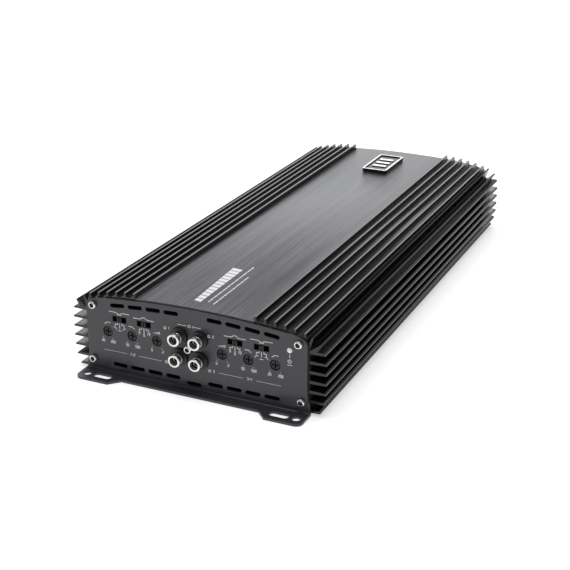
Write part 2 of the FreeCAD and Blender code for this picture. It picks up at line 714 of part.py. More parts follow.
def top_fins(body):
    """Six upright fins on the right shoulder, with flared feet."""
    drawing = Drawing(body, "top_fin_section", "XZ_Plane")
    for step in range(6):
        middle = size.top_fin_first + size.top_fin_pitch * step
        foot = shoulder_level(middle)
        tip = foot + size.top_fin_rise
        half_tip = size.top_fin_tip / 2
        half_foot = size.top_fin_foot / 2
        right = [
            (middle + half_tip, tip),
            (middle + half_foot, foot + size.fin_flare),
            (middle + half_foot + size.fin_flare, foot - size.fin_sink),
        ]
        right.reverse()
        if step == 0:
            left = [(size.recess_half, tip), (size.recess_half, foot - size.fin_sink)]
        else:
            left = [
                (middle - half_tip, tip),
                (middle - half_foot, foot + size.fin_flare),
                (middle - half_foot - size.fin_flare, foot - size.fin_sink),
            ]
        drawing.outline(right + left)
    return pad(body, "top_fins", drawing.finish(), size.case_length, reverse=True)


def side_fins(body):
    """Seven level fins on the right wall, with a bevel along their upper edge."""
    drawing = Drawing(body, "side_fin_section", "XZ_Plane")
    reaches = [getattr(size, "side_reach_{}".format(i)) for i in range(1, 8)]
    for step, reach in enumerate(reaches):
        level = size.side_fin_first + size.side_fin_pitch * step
        inner = size.wall_outside - size.fin_sink
        drawing.outline([
            (inner, level - size.side_fin_foot / 2),
            (reach, level - size.side_fin_tip / 2),
            (reach, level + size.side_fin_tip / 2 - size.side_fin_bevel),
            (reach - size.side_fin_bevel, level + size.side_fin_tip / 2),
            (inner, level + size.side_fin_foot / 2),
        ])
    return pad(body, "side_fins", drawing.finish(), size.case_length, reverse=True)


def corner_fins(body):
    """Two slanted fins between the shoulder and the side."""
    drawing = Drawing(body, "corner_fin_section", "XZ_Plane")
    for corners in (UPPER_CORNER_FIN, LOWER_CORNER_FIN):
        drawing.outline([(size.wall_outside + out, size.corner_height + up)
                         for out, up in corners])
    return pad(body, "corner_fins", drawing.finish(), size.case_length, reverse=True)


def inner_rails(body):
    """Inside the right wall: the ledge over the bottom plate, the board slot, screw ports."""
    drawing = Drawing(body, "rail_section", "XZ_Plane")
    outer = size.wall_inside + size.rail_root
    drawing.rectangle((size.ledge_inner, outer), (ledge_low, ledge_low + size.ledge_rise))
    low = size.board_level - size.board_gap
    high = board_top + size.board_gap
    drawing.rectangle((size.rail_inner, outer), (low - size.rail_thickness, low))
    drawing.rectangle((size.rail_inner, outer), (high, high + size.rail_thickness))
    drawing.circle(size.screw_port, size.screw_high_x, size.screw_high_z)
    drawing.circle(size.screw_port, size.screw_low_x, size.screw_low_z)
    return pad(body, "rails", drawing.finish(), size.case_length, reverse=True)


def port_bores(body):
    drawing = Drawing(body, "port_bore_section", "XZ_Plane")
    for x, z in plate_screw_places:
        drawing.circle(size.screw_bore, x, z)
    return pocket(body, "port_bores", drawing.finish())


def heatsink_extrusion():
    body = doc.addObject("PartDesign::Body", "ExtrusionBody")
    settle(body, (0, case_front, 0))
    extrusion_shell(body)
    features = [top_fins(body), side_fins(body), corner_fins(body), inner_rails(body)]
    mirror(body, "left_side", features)
    port_bores(body)
    holes = []
    for side in (-1, 1):
        for y in clamp_screw_places:
            near, far = ordered(side * (size.wall_inside - PAST),
                                side * (size.wall_inside + size.clamp_tap))
            holes.append(rod("X", size.screw_bore, (near, y, clamp_level), far - near))
        for y in floor_screw_places:
            holes.append(rod("Z", size.screw_bore, (side * size.floor_screw_x, y, ledge_low - OVERLAP),
                             size.ledge_rise + 2 * OVERLAP))
    sub_part("heatsink_extrusion", cut(body, holes))


# ---------------------------------------------------------------- top panel and badge

def top_panel():
    """A crowned brushed strip that lies in the recess between the innermost fins."""
    body = doc.addObject("PartDesign::Body", "PanelBody")
    settle(body, (0, case_front, 0))
    half = size.recess_half - size.panel_gap
    low = size.recess_edge + size.panel_seat
    drawing = Drawing(body, "panel_section", "XZ_Plane")
    drawing.outline([
        (half, low),
        (half, low + size.panel_thickness, size.recess_radius),
        (-half, low + size.panel_thickness),
        (-half, low, -size.recess_radius),
    ])
    pad(body, "strip", drawing.finish(), size.case_length, reverse=True)
    sub_part("top_panel", body)


def badge_outline(body, name, inset):
    """A rectangle with round corners, smaller all round by inset."""
    drawing = Drawing(body, name, "XY_Plane")
    half_x = size.badge_width / 2 - inset
    half_y = size.badge_length / 2 - inset
    radius = size.badge_corner - inset
    drawing.outline([
        (half_x, radius - half_y),
        (half_x, half_y - radius, radius),
        (half_x - radius, half_y),
        (radius - half_x, half_y, radius),
        (-half_x, half_y - radius),
        (-half_x, radius - half_y, radius),
        (radius - half_x, -half_y),
        (half_x - radius, -half_y, radius),
    ])
    return drawing.finish()


def badge():
    """A plain cast badge: a rim round a lower field with three bars on it."""
    spot = (size.badge_x, size.badge_y, size.badge_base)
    rim = doc.addObject("PartDesign::Body", "BadgeRimBody")
    settle(rim, spot)
    pad(rim, "block", badge_outline(rim, "rim_outline", 0), size.badge_rim_height)
    opening = badge_outline(rim, "rim_opening", size.badge_rim_width)
    pocket(rim, "opening", opening)
    field = doc.addObject("PartDesign::Body", "BadgeFieldBody")
    settle(field, spot)
    outline = badge_outline(field, "field_outline", size.badge_rim_width + size.badge_gap)
    pad(field, "field", outline, size.badge_field_height)
    half_x = size.badge_bar_width / 2
    half_y = size.badge_bar_length / 2
    low = size.badge_base + size.badge_field_height
    bars = []
    for step in (-1, 0, 1):
        middle = size.badge_y + size.badge_bar_pitch * step
        bars.append(box(x=around(size.badge_x, half_x),
                        y=around(middle, half_y),
                        z=(low, low + size.badge_bar_height)))
    sub_part("badge_rim", rim)
    sub_part("badge_field", field)
    sub_part("badge_bars", group(bars))


# ---------------------------------------------------------------- end plates

def plate_blank(body):
    """The upright sheet with its foot flange and ears, folded outwards."""
    upright = Drawing(body, "plate_outline", "XZ_Plane")
    right = [
        (size.plate_foot_half, 0.0),
        (size.plate_half, size.plate_flare_level),
        (size.plate_half, size.plate_corner_low, size.plate_corner_radius),
        (size.plate_corner_x, size.plate_corner_top),
        (size.plate_arch_half, size.plate_arch_level, size.plate_arch_radius),
    ]
    left = [
        (-size.plate_arch_half, size.plate_arch_level),
        (-size.plate_corner_x, size.plate_corner_top, size.plate_corner_radius),
        (-size.plate_half, size.plate_corner_low),
        (-size.plate_half, size.plate_flare_level),
        (-size.plate_foot_half, 0.0),
    ]
    upright.outline(right + left)
    pad(body, "upright", upright.finish(), size.plate_thickness, reverse=True)

    foot = Drawing(body, "foot_outline", "XY_Plane")
    corner = size.ear_corner
    foot.outline([
        (-size.plate_foot_half, size.plate_thickness),
        (-size.plate_foot_half, corner - size.ear_depth, corner),
        (corner - size.plate_foot_half, -size.ear_depth),
        (-size.ear_inner, -size.ear_depth),
        (-size.ear_slope, -size.foot_depth),
        (size.ear_slope, -size.foot_depth),
        (size.ear_inner, -size.ear_depth),
        (size.plate_foot_half - corner, -size.ear_depth, corner),
        (size.plate_foot_half, corner - size.ear_depth),
        (size.plate_foot_half, size.plate_thickness),
    ])
    pad(body, "foot", foot.finish(), size.plate_thickness)
    fold_edges(body)

    holes = Drawing(body, "foot_holes", "XY_Plane")
    for side in (-1, 1):
        holes.circle(size.foot_hole_radius, side * size.foot_hole_x, -size.foot_hole_reach)
        holes.slot(side * size.foot_slot_x, -size.foot_hole_reach,
                   size.foot_slot_length, 2 * size.foot_hole_radius)
    pocket(body, "foot_openings", holes.finish())


def fold_edges(body):
    """Round the fold: its outer edge under the plate and its inner edge over the foot."""
    sheet = size.plate_thickness.value
    touching = 0.01

    def runs_along(edge, y, z):
        limits = edge.BoundBox
        return (limits.XLength > size.plate_half.value
                and abs(limits.YMin - y) + abs(limits.YMax - y) < touching
                and abs(limits.ZMin - z) + abs(limits.ZMax - z) < touching)

    fillet(body, "fold_outside", size.fold_outside, lambda edge: runs_along(edge, sheet, 0.0))
    fillet(body, "fold_inside", size.fold_inside, lambda edge: runs_along(edge, 0.0, sheet))


def vents(body):
    """Nine slots over the foot and eight under the arch, which they follow."""
    drawing = Drawing(body, "vent_outlines", "XZ_Plane")
    for step in (-4, -3, -2, -1, 1, 2, 3, 4):
        side = 1 if step > 0 else -1
        x = size.vent_pitch * step + side * size.vent_shift
        fall = x * x / (2 * size.plate_arch_radius)
        tilt = size.vent_length * x / size.plate_arch_radius
        drawing.slot(x, size.vent_top_level - fall, size.vent_length, size.vent_width, tilt)
        drawing.slot(x, size.vent_low_level, size.vent_length, size.vent_width)
    drawing.slot(0.0, size.vent_mid_level, size.vent_length, size.vent_width)
    pocket(body, "vents", drawing.finish())


def plate_screw_holes(drawing):
    for x, z in plate_screw_places:
        drawing.circle(size.screw_bore + size.screw_play, x, z)


def front_end_plate():
    body = doc.addObject("PartDesign::Body", "FrontPlateBody")
    settle(body, (0, face, 0))
    plate_blank(body)
    vents(body)
    drawing = Drawing(body, "control_openings", "XZ_Plane")
    plate_screw_holes(drawing)
    for x in knob_places:
        drawing.circle(size.knob_hole, x, size.knob_level)
    half_x = size.switch_width / 2
    half_z = size.switch_height / 2
    for x in switch_places:
        drawing.rectangle(around(x, half_x), around(size.switch_level, half_z))
    for x, z in input_places:
        drawing.circle(size.input_boss + size.boss_gap, x, z)
    drawing.circle(size.centre_boss + size.boss_gap, size.input_x, size.input_z)
    drawing.circle(size.lamp_radius + size.lamp_gap, size.lamp_x, size.lamp_z)
    pocket(body, "openings", drawing.finish())
    sub_part("front_end_plate", body)


def rear_end_plate():
    """The same blank turned round, with openings for the terminals and the fuses. The turn
    reverses X, so each opening is drawn at the other side."""
    body = doc.addObject("PartDesign::Body", "RearPlateBody")
    settle(body, (0, back_face, 0), HALF_TURN)
    plate_blank(body)
    vents(body)
    drawing = Drawing(body, "terminal_openings", "XZ_Plane")
    plate_screw_holes(drawing)
    gap = size.block_gap
    for room in (speaker_room, supply_room, fuse_room):
        left, right = room["x"]
        low, high = room["z"]
        drawing.rectangle((-right - gap, -left + gap), (low - gap, high + gap))
    pocket(body, "openings", drawing.finish())
    sub_part("rear_end_plate", body)


# ---------------------------------------------------------------- screws

def outward(seat, way, first, last):
    """The low end and the length of a stretch along Y, from first to last measured out of
    a face. The way is -1 for a face that looks to -Y and 1 for one that looks to +Y."""
    low = seat + first if way > 0 else seat - last
    return low, last - first


def cap_screw(x, z, seat, way, length):
    """A socket screw along Y with a bevelled head that sits on the face at the seat."""
    rise = size.screw_head_rise
    shoulder = rise - size.screw_bevel
    low, height = outward(seat, way, as_dim(0), shoulder)
    barrel = rod("Y", size.screw_head, (x, low, z), height)
    radii = [size.screw_head - size.screw_bevel, size.screw_head]
    if way > 0:
        radii.reverse()
    low, height = outward(seat, way, shoulder, rise)
    bevel = cone("Y", radii[0], radii[1], (x, low, z), height)
    low, height = outward(seat, way, -length, OVERLAP)
    shank = rod("Y", size.screw_shank, (x, low, z), height)
    low, height = outward(seat, way, rise - size.socket_depth, rise + PAST)
    socket = hexagon("Y", size.socket_radius, (x, low, z), height)
    return cut(fuse([barrel, bevel, shank]), [socket])


def plate_screws():
    for name, seat, way in (("front_plate_screws", face, -1), ("rear_plate_screws", back_face, 1)):
        screws = [cap_screw(x, z, seat, way, size.screw_length) for x, z in plate_screw_places]
        sub_part(name, group(screws))


# ---------------------------------------------------------------- bottom plate

def floor_screw(x, y):
    """A cross head screw that stands head down under the bottom plate."""
    low = size.case_bottom - size.floor_screw_rise
    head = cone("Z", size.floor_screw_head - size.screw_bevel, size.floor_screw_head,
                (x, y, low), size.floor_screw_rise)
    shank = rod("Z", size.screw_shank, (x, y, size.case_bottom - OVERLAP),
                size.floor_screw_length)
    half = size.floor_slot_width / 2
    reach = size.floor_slot_length / 2
    depth = (low - PAST, low + size.floor_slot_depth)
    cross = [
        box(x=around(x, reach), y=around(y, half), z=depth),
        box(x=around(x, half), y=around(y, reach), z=depth),
    ]
    return cut(fuse([head, shank]), cross)


def bottom_plate():
    half = size.wall_inside - size.floor_gap
    sheet = box(x=(-half, half), y=(case_front + OVERLAP, case_back - OVERLAP),
                z=(size.case_bottom, ledge_low))
    holes = []
    screws = []
    for side in (-1, 1):
        x = side * size.floor_screw_x
        for y in floor_screw_places:
            holes.append(rod("Z", size.screw_bore + size.screw_play,
                             (x, y, size.case_bottom - PAST), size.floor_thickness + 2 * PAST))
            screws.append(floor_screw(x, y))
    sub_part("bottom_plate", cut(sheet, holes))
    sub_part("bottom_plate_screws", group(screws))


# ---------------------------------------------------------------- boards

def circuit_boards():
    half = size.board_length / 2
    main = box(x=(-size.board_half, size.board_half), y=(-half, half),
               z=(size.board_level, board_top))
    control = box(x=(-size.control_half, size.control_half), y=(control_face, control_back),
                  z=(board_top + size.control_gap, size.control_top))
    sub_part("main_circuit_board", main)
    sub_part("control_board", control)


def board_headers():
    """Right angle pin headers that join the control board to the main board."""
    half = size.header_width / 2
    headers = [box(x=around(x, half), y=(control_back, control_back + size.header_depth),
                   z=(board_top, board_top + size.header_height)) for x in HEADER_PLACES]
    sub_part("board_headers", group(headers))


def driver_chip(x):
    """A dual in line chip on fourteen legs, with its length along Y."""
    half_x = size.chip_width / 2
    half_y = size.chip_length / 2
    low = board_top + size.chip_lift
    pieces = [box(x=around(x, half_x), y=around(size.chip_y, half_y),
                  z=(low, low + size.chip_height))]
    half_leg_x = size.chip_leg_width / 2
    half_leg_y = size.chip_leg_thickness / 2
    for side in (-1, 1):
        leg_x = x + side * size.chip_span / 2
        for step in range(-3, 4):
            leg_y = size.chip_y + size.leg_pitch * step
            pieces.append(box(x=around(leg_x, half_leg_x),
                              y=around(leg_y, half_leg_y),
                              z=(board_top, low + size.chip_height / 2)))
    return fuse(pieces)


def driver_chips():
    sub_part("driver_chips", group([driver_chip(x) for x in CHIP_PLACES]))


def status_lamp():
    """A small light emitting diode: domed lens, stem and two legs to the control board."""
    start = face - size.lamp_proud
    stem_start = start + size.lamp_dome
    stem_end = stem_start + size.lamp_stem
    dome = cone("Y", size.lamp_radius - size.lamp_dome, size.lamp_radius,
                (size.lamp_x, start, size.lamp_z), size.lamp_dome)
    stem = rod("Y", size.lamp_radius, (size.lamp_x, stem_start, size.lamp_z), size.lamp_stem)
    half = size.lamp_leg / 2
    legs = []
    for side in (-1, 1):
        x = size.lamp_x + side * size.lamp_leg_span / 2
        legs.append(box(x=around(x, half), y=(stem_end - OVERLAP, control_face),
                        z=around(size.lamp_z, half)))
    sub_part("status_lamp", fuse([dome, stem] + legs))


# ---------------------------------------------------------------- level controls

def level_control_housings():
    housings = []
    front = control_face - size.pot_depth
    half = size.pot_side / 2
    for x in knob_places:
        body = box(x=around(x, half), y=(front, control_face),
                   z=around(size.knob_level, half))
        bearing = rod("Y", size.knob_radius + size.running_gap,
                      (x, front - PAST, size.knob_level), size.pot_bore_depth + PAST)
        housings.append(cut(body, [bearing]))
    sub_part("level_control_housings", group(housings))


def level_control_shaft(name, x):
    """A shaft with a cross slot in its end, just inside the hole of the plate."""
    start = face + size.knob_sink
    end = control_face - size.pot_depth + size.pot_bore_depth - OVERLAP
    level = size.knob_level
    shaft = rod("Y", size.knob_radius, (x, start, level), end - start)
    half = size.knob_slot / 2
    reach = size.knob_slot_length / 2
    depth = (start - PAST, start + size.knob_slot_depth)
    cross = [
        box(x=around(x, reach), y=depth, z=around(level, half)),
        box(x=around(x, half), y=depth, z=around(level, reach)),
    ]
    sub_part(name, cut(shaft, cross))


# ---------------------------------------------------------------- slide switches

def switch_housings():
    """Each housing has a window for the knob in its front wall and a room for the foot."""
    housings = []
    swing = size.slider_travel + size.slider_end_gap
    for x in switch_places:
        body = box(x=around(x, size.switch_body_width / 2), y=(switch_front, control_face),
                   z=around(size.switch_level, size.switch_body_height / 2))
        window = box(x=around(x, size.slider_width / 2 + swing),
                     y=(switch_front - PAST, switch_room + OVERLAP),
                     z=around(size.switch_level, size.slider_height / 2 + size.slider_play))
        room = box(x=around(x, size.slider_foot_width / 2 + swing),
                   y=(switch_room, switch_room + size.slider_foot_depth + 2 * size.slider_play),
                   z=around(size.switch_level, size.slider_foot_height / 2 + size.slider_play))
        housings.append(cut(body, [window, room]))
    sub_part("switch_housings", group(housings))


def switch_slider(name, x):
    """A knob with a groove across its face, on a wider foot inside the housing."""
    knob_face = face - size.slider_proud
    foot_start = switch_room + size.slider_play
    knob = box(x=around(x, size.slider_width / 2), y=(knob_face, foot_start + OVERLAP),
               z=around(size.switch_level, size.slider_height / 2))
    foot = box(x=around(x, size.slider_foot_width / 2),
               y=(foot_start, foot_start + size.slider_foot_depth),
               z=around(size.switch_level, size.slider_foot_height / 2))
    groove = box(x=around(x, size.slider_groove / 2),
                 y=(knob_face - PAST, knob_face + size.slider_groove),
                 z=around(size.switch_level, size.slider_height / 2 + PAST))
    sub_part(name, cut(fuse([knob, foot]), [groove]))


# ---------------------------------------------------------------- signal inputs

def input_block():
    """The plastic block of the four sockets, with bosses that pass through the plate."""
    half = size.input_block / 2
    boss_face = face - size.input_boss_proud
    boss_length = case_front - boss_face + OVERLAP
    body = [
        box(x=around(size.input_x, half), y=(case_front, control_face),
            z=around(size.input_z, half)),
        rod("Y", size.centre_boss, (size.input_x, boss_face, size.input_z), boss_length),
    ]
    bores = [rod("Y", size.screw_shank + OVERLAP, (size.input_x, boss_face - PAST, size.input_z),
                 size.input_screw_length + 2 * PAST)]
    for x, z in input_places:
        body.append(rod("Y", size.input_boss, (x, boss_face, z), boss_length))
        bores.append(rod("Y", size.input_neck, (x, boss_face - PAST, z),
                         size.input_seat + PAST))
    sub_part("input_socket_block", cut(fuse(body), bores))
    sub_part("input_block_screw", cap_screw(size.input_x, size.input_z, boss_face, -1,
                                            size.input_screw_length))


def input_socket(x, z):
    """A metal sleeve with a collar and a ring, its insulating core and centre contact."""
    front = face - size.input_proud
    back = face - size.input_boss_proud + size.input_seat
    bevel = size.input_bevel
    collar_end = front + size.input_collar
    outside = fuse([
        cone("Y", size.input_radius - bevel, size.input_radius, (x, front, z), bevel),
        rod("Y", size.input_radius, (x, front + bevel, z), size.input_collar - bevel),
        rod("Y", size.input_neck, (x, collar_end, z), back - collar_end),
        rod("Y", size.input_ring, (x, collar_end + size.input_ring_place, z),
            size.input_ring_width),
    ])
    through = back - front + 2 * PAST
    sleeve = cut(outside, [rod("Y", size.input_bore, (x, front - PAST, z), through)])
    core_front = front + size.input_core_back
    flange = size.input_core_flange
    solid = fuse([
        rod("Y", size.input_core, (x, core_front, z), back - core_front),
        rod("Y", size.input_bore - size.hair_gap, (x, back - flange, z), flange),
    ])
    pin = size.input_pin_bore + size.input_pin_wall
    pin_length = size.input_pin_length
    core = cut(solid, [rod("Y", pin + size.hair_gap, (x, core_front - PAST, z),
                           pin_length + PAST)])
    tube = rod("Y", pin, (x, core_front, z), pin_length)
    contact = cut(tube, [rod("Y", size.input_pin_bore, (x, core_front - PAST, z),
                             size.input_pin_depth + PAST)])
    return sleeve, core, contact


def input_sockets():
    sleeves, cores, contacts = zip(*[input_socket(x, z) for x, z in input_places])
    sub_part("input_sleeves", group(list(sleeves)))
    sub_part("input_cores", group(list(cores)))
    sub_part("input_contacts", group(list(contacts)))


# ---------------------------------------------------------------- terminal blocks and fuses

def terminal_room(middle, half_width, height, proud):
    """Where a terminal block stands: its limits along each axis."""
    return {
        "x": around(middle, half_width),
        "y": (back_face - size.block_inside, back_face + proud),
        "z": (board_top, board_top + height),
    }


def clamp_screw(x, y, low, high, radius):
    """A slotted set screw from low to just under the top of its block."""
    end = high - size.set_screw_sink
    shank = rod("Z", radius, (x, y, low), end - low)
    slot = box(x=around(x, radius + PAST), y=around(y, size.set_screw_slot / 2),
               z=(end - size.set_screw_slot_depth, end + PAST))
    return cut(shank, [slot])


def clamp_block(prefix, room, places, entry, screw_radius):
    """A plastic block with a row of wire clamps: square entries in its face and a set
    screw from above into each clamp."""
    rear = room["y"][1]
    low, high = room["z"]
    clamp_depth = entry + size.clamp_extra
    entry_low = low + size.block_floor
    middle_z = entry_low + entry / 2
    screw_y = rear - clamp_depth / 2
    outer = entry / 2 - size.hair_gap
    inner = entry / 2 - size.clamp_wall
    tools = []
    clamps = []
    screws = []
    for x in places:
        tools.append(box(x=around(x, entry / 2), y=(rear - clamp_depth, rear + PAST),
                         z=around(middle_z, entry / 2)))
        tools.append(rod("Z", screw_radius + size.screw_well, (x, screw_y, middle_z), high - low))
        sleeve = box(x=around(x, outer),
                     y=(rear - clamp_depth + OVERLAP, rear - size.clamp_sink),
                     z=around(middle_z, outer))
        bore = box(x=around(x, inner), y=(rear - clamp_depth - PAST, rear + PAST),
                   z=around(middle_z, inner))
        thread = rod("Z", screw_radius + size.hair_gap, (x, screw_y, middle_z), entry)
        clamps.append(cut(sleeve, [bore, thread]))
        screws.append(clamp_screw(x, screw_y, middle_z + inner + OVERLAP, high, screw_radius))
    half_pitch = (places[1] - places[0]) / 2
    for x in places[:-1]:
        tools.append(box(x=around(x + half_pitch, size.block_groove / 2),
                         y=(rear - size.block_groove_length, rear + PAST),
                         z=(high - size.block_groove_depth, high + PAST)))
    housing = box(x=room["x"], y=room["y"], z=room["z"])
    sub_part(prefix + "_terminal_block", cut(housing, tools))
    sub_part(prefix + "_terminal_clamps", group(clamps))
    sub_part(prefix + "_terminal_screws", group(screws))


def terminal_blocks():
    speaker_places = [size.speaker_x + size.speaker_pitch * (step - 3.5) for step in range(8)]
    clamp_block("speaker", speaker_room, speaker_places, size.speaker_entry, size.speaker_screw)
    supply_places = [size.supply_x + size.supply_pitch * step for step in (-1, 0, 1)]
    clamp_block("supply", supply_room, supply_places, size.supply_entry, size.supply_screw)


class BladeFuse:
    """One blade fuse on edge in the holder, with its well and its spring clips."""

    def __init__(self, x):
        middle = (fuse_room["z"][0] + fuse_room["z"][1]) / 2
        rear = back_face + size.fuse_proud
        front = rear - size.fuse_body
        half_x = size.fuse_thickness / 2
        half_z = size.fuse_width / 2
        cap_start = rear - size.fuse_cap
        cap = box(x=around(x, half_x), y=(cap_start, rear), z=around(middle, half_z))
        stem = box(x=around(x, half_x - size.fuse_step), y=(front, cap_start + OVERLAP),
                   z=around(middle, half_z - size.fuse_step))
        window = box(x=around(x, size.fuse_window_width / 2),
                     y=(rear - size.fuse_window_depth, rear + PAST),
                     z=around(middle, size.fuse_window_length / 2))
        self.wells = [box(x=around(x, half_x + size.fuse_gap),
                          y=(front - OVERLAP, rear + PAST),
                          z=around(middle, half_z + size.fuse_gap))]
        self.blades = []
        self.clips = []
        blade_front = front - size.fuse_blade_length
        half_blade = size.fuse_blade_width / 2
        half_metal = size.fuse_blade_thickness / 2
        slots = []
        for side in (-1, 1):
            level = middle + side * size.fuse_blade_span / 2
            blade_end = front + size.fuse_blade_root
            self.blades.append(box(x=around(x, half_metal), y=(blade_front, blade_end),
                                   z=around(level, half_blade)))
            slots.append(box(x=around(x, half_metal), y=(front - PAST, blade_end),
                             z=around(level, half_blade)))
            self.wells.append(box(x=around(x, size.fuse_slot_width / 2),
                                  y=(blade_front - size.fuse_gap, front + PAST),
                                  z=around(level, half_blade + size.fuse_gap)))
            for cheek in (-1, 1):
                inner = half_metal + size.hair_gap
                near, far = ordered(x + cheek * inner, x + cheek * (inner + size.clip_sheet))
                self.clips.append(box(x=(near, far), y=(blade_front, front - size.fuse_gap),
                                      z=around(level, size.clip_width / 2)))
        self.body = cut(fuse([cap, stem]), [window] + slots)


def fuses():
    kept = [BladeFuse(size.fuse_x + size.fuse_pitch * step) for step in (-1, 0, 1)]
    housing = box(x=fuse_room["x"], y=fuse_room["y"], z=fuse_room["z"])
    sub_part("fuse_holder", cut(housing, [well for piece in kept for well in piece.wells]))
    sub_part("fuse_bodies", group([piece.body for piece in kept]))
    sub_part("fuse_blades", group([blade for piece in kept for blade in piece.blades]))
    sub_part("fuse_clips", group([clip for piece in kept for clip in piece.clips]))


# ---------------------------------------------------------------- power parts

def across(wall, side, first, last):
    """The X limits of a layer from first to last, measured inwards from a side wall."""
    return ordered(wall - side * first, wall - side * last)


def transistor(wall, side, y):
    """A power transistor whose metal back faces the side wall."""
    low = size.transistor_level
    high = low + size.transistor_height
    back = size.pad_thickness
    half = size.transistor_width / 2
    tab = box(x=across(wall, side, back, back + size.tab_thickness), y=around(y, half),
              z=(low + size.tab_lift, high))
    body = box(x=across(wall, side, back + size.tab_thickness - OVERLAP, clamp_back),
               y=around(y, half), z=(low, low + size.transistor_body))
    leg_x = wall - side * (back + size.leg_setback)
    legs = []
    for step in (-1, 0, 1):
        legs.append(box(x=around(leg_x, size.transistor_leg / 2),
                        y=around(y + size.leg_pitch * step, size.transistor_leg / 2),
                        z=(board_top, low + size.tab_lift)))
    start, end = across(wall, side, back - PAST, back + size.tab_thickness + PAST)
    hole = rod("X", size.tab_hole, (start, y, high - size.tab_hole_drop), end - start)
    return cut(fuse([body, tab] + legs), [hole])


def clamp_holes(wall, side, first, last):
    """Cutters for the clamp screws of one wall, through a layer from first to last."""
    start, end = across(wall, side, first - PAST, last + PAST)
    return [rod("X", size.screw_bore, (start, y, clamp_level), end - start)
            for y in clamp_screw_places]


def wall_clamp_screw(wall, side, y):
    """A slotted screw through bar and pad into the side wall."""
    seat = clamp_back + size.clamp_thickness
    start, end = across(wall, side, seat, seat + size.clamp_screw_rise)
    head = rod("X", size.screw_head, (start, y, clamp_level), end - start)
    start, end = across(wall, side, -size.clamp_screw_tip, seat + OVERLAP)
    shank = rod("X", size.screw_shank, (start, y, clamp_level), end - start)
    slot = box(x=across(wall, side, seat + size.clamp_screw_rise / 2,
                        seat + size.clamp_screw_rise + PAST),
               y=around(y, size.screw_head + PAST),
               z=around(clamp_level, size.floor_slot_width / 2))
    return cut(fuse([head, shank]), [slot])


def transistor_banks():
    """Four rows of transistors, pressed on thermal pads along the walls by clamp bars."""
    pads = []
    bars = []
    screws = []
    half = size.transistor_pitch * 1.5 + size.transistor_width / 2 + size.pad_margin
    for side, name in ((-1, "supply_transistors"), (1, "output_transistors")):
        wall = side * size.wall_inside
        devices = []
        for bank in (-1, 1):
            middle = bank * size.bank_y
            for step in (-1.5, -0.5, 0.5, 1.5):
                devices.append(transistor(wall, side, middle + size.transistor_pitch * step))
            pad_block = box(x=across(wall, side, 0, size.pad_thickness), y=around(middle, half),
                            z=(size.transistor_level, size.transistor_level
                               + size.transistor_height + size.pad_margin))
            pads.append(cut(pad_block, clamp_holes(wall, side, 0, size.pad_thickness)))
            bar_end = clamp_back + size.clamp_thickness
            bar = box(x=across(wall, side, clamp_back, bar_end), y=around(middle, half),
                      z=(clamp_low, clamp_low + size.clamp_height))
            bars.append(cut(bar, clamp_holes(wall, side, clamp_back, bar_end)))
        screws += [wall_clamp_screw(wall, side, y) for y in clamp_screw_places]
        sub_part(name, group(devices))
    sub_part("thermal_pads", group(pads))
    sub_part("clamp_bars", group(bars))
    sub_part("clamp_screws", group(screws))


def ring(outer, inner, x, y, low, height):
    """A flat ring that stands level over the board."""
    bore = rod("Z", inner, (x, y, low - PAST), height + 2 * PAST)
    return cut(rod("Z", outer, (x, y, low), height), [bore])


def ring_transformer():
    """A ferrite ring inside a hollow copper winding."""
    thick = size.winding_thickness
    low = board_top + size.ring_lift
    spot = (size.ring_x, size.ring_y)
    inside = (size.ring_outer - thick, size.ring_inner + thick)
    core = ring(*inside, *spot, low + thick, size.ring_height - 2 * thick)
    hollow = ring(*inside, *spot, low + thick, size.ring_height - 2 * thick)
    shell = ring(size.ring_outer, size.ring_inner, *spot, low, size.ring_height)
    sub_part("transformer_core", core)
    sub_part("transformer_winding", cut(shell, [hollow]))


def can(radius, height, x, y):
    """An electrolytic capacitor: a can with a crimped groove near its foot."""
    body = rod("Z", radius, (x, y, board_top), height)
    groove = doc.addObject("Part::Torus", "Crimp")
    bind(groove, "Radius1", radius + size.crimp_offset)
    bind(groove, "Radius2", size.crimp_radius)
    settle(groove, (x, y, board_top + size.crimp_level))
    return cut(body, [groove])


def capacitors():
    supply = []
    rails = []
    for side in (-1, 1):
        for step in range(3):
            y = size.big_can_first + size.big_can_pitch * step
            supply.append(can(size.big_can, size.big_can_height, side * size.big_can_x, y))
        for x in (size.small_can_near, size.small_can_far):
            for y in (size.small_can_front, size.small_can_back):
                rails.append(can(size.small_can, size.small_can_height, side * x, y))
    sub_part("supply_capacitors", group(supply))
    sub_part("rail_capacitors", group(rails))


def output_chokes():
    """Small wound chokes beside the speaker terminals."""
    chokes = []
    for step in range(4):
        x = size.choke_first + size.choke_pitch * step
        chokes.append(ring(size.choke_outer, size.choke_inner, x, size.choke_y, board_top,
                           size.choke_height))
    sub_part("output_chokes", group(chokes))


speaker_room = terminal_room(size.speaker_x, size.speaker_pitch * 4 + size.block_side,
                             size.speaker_height, size.block_proud)
supply_room = terminal_room(size.supply_x, size.supply_pitch * 1.5 + size.block_side,
                            size.supply_height, size.block_proud)
fuse_room = terminal_room(size.fuse_x, size.fuse_pitch * 1.5 + size.block_side,
                          size.fuse_width + 2 * size.fuse_margin, size.fuse_holder_proud)

heatsink_extrusion()
top_panel()
badge()
front_end_plate()
rear_end_plate()
plate_screws()
bottom_plate()
circuit_boards()
board_headers()
driver_chips()
status_lamp()
level_control_housings()
for shaft_name, shaft_x in zip(KNOB_NAMES, knob_places):
    level_control_shaft(shaft_name, shaft_x)
switch_housings()
for slider_name, slider_x in zip(SLIDER_NAMES, switch_places):
    switch_slider(slider_name, slider_x)
input_block()
input_sockets()
terminal_blocks()
fuses()
transistor_banks()
ring_transformer()
capacitors()
output_chokes()
doc.recompute()

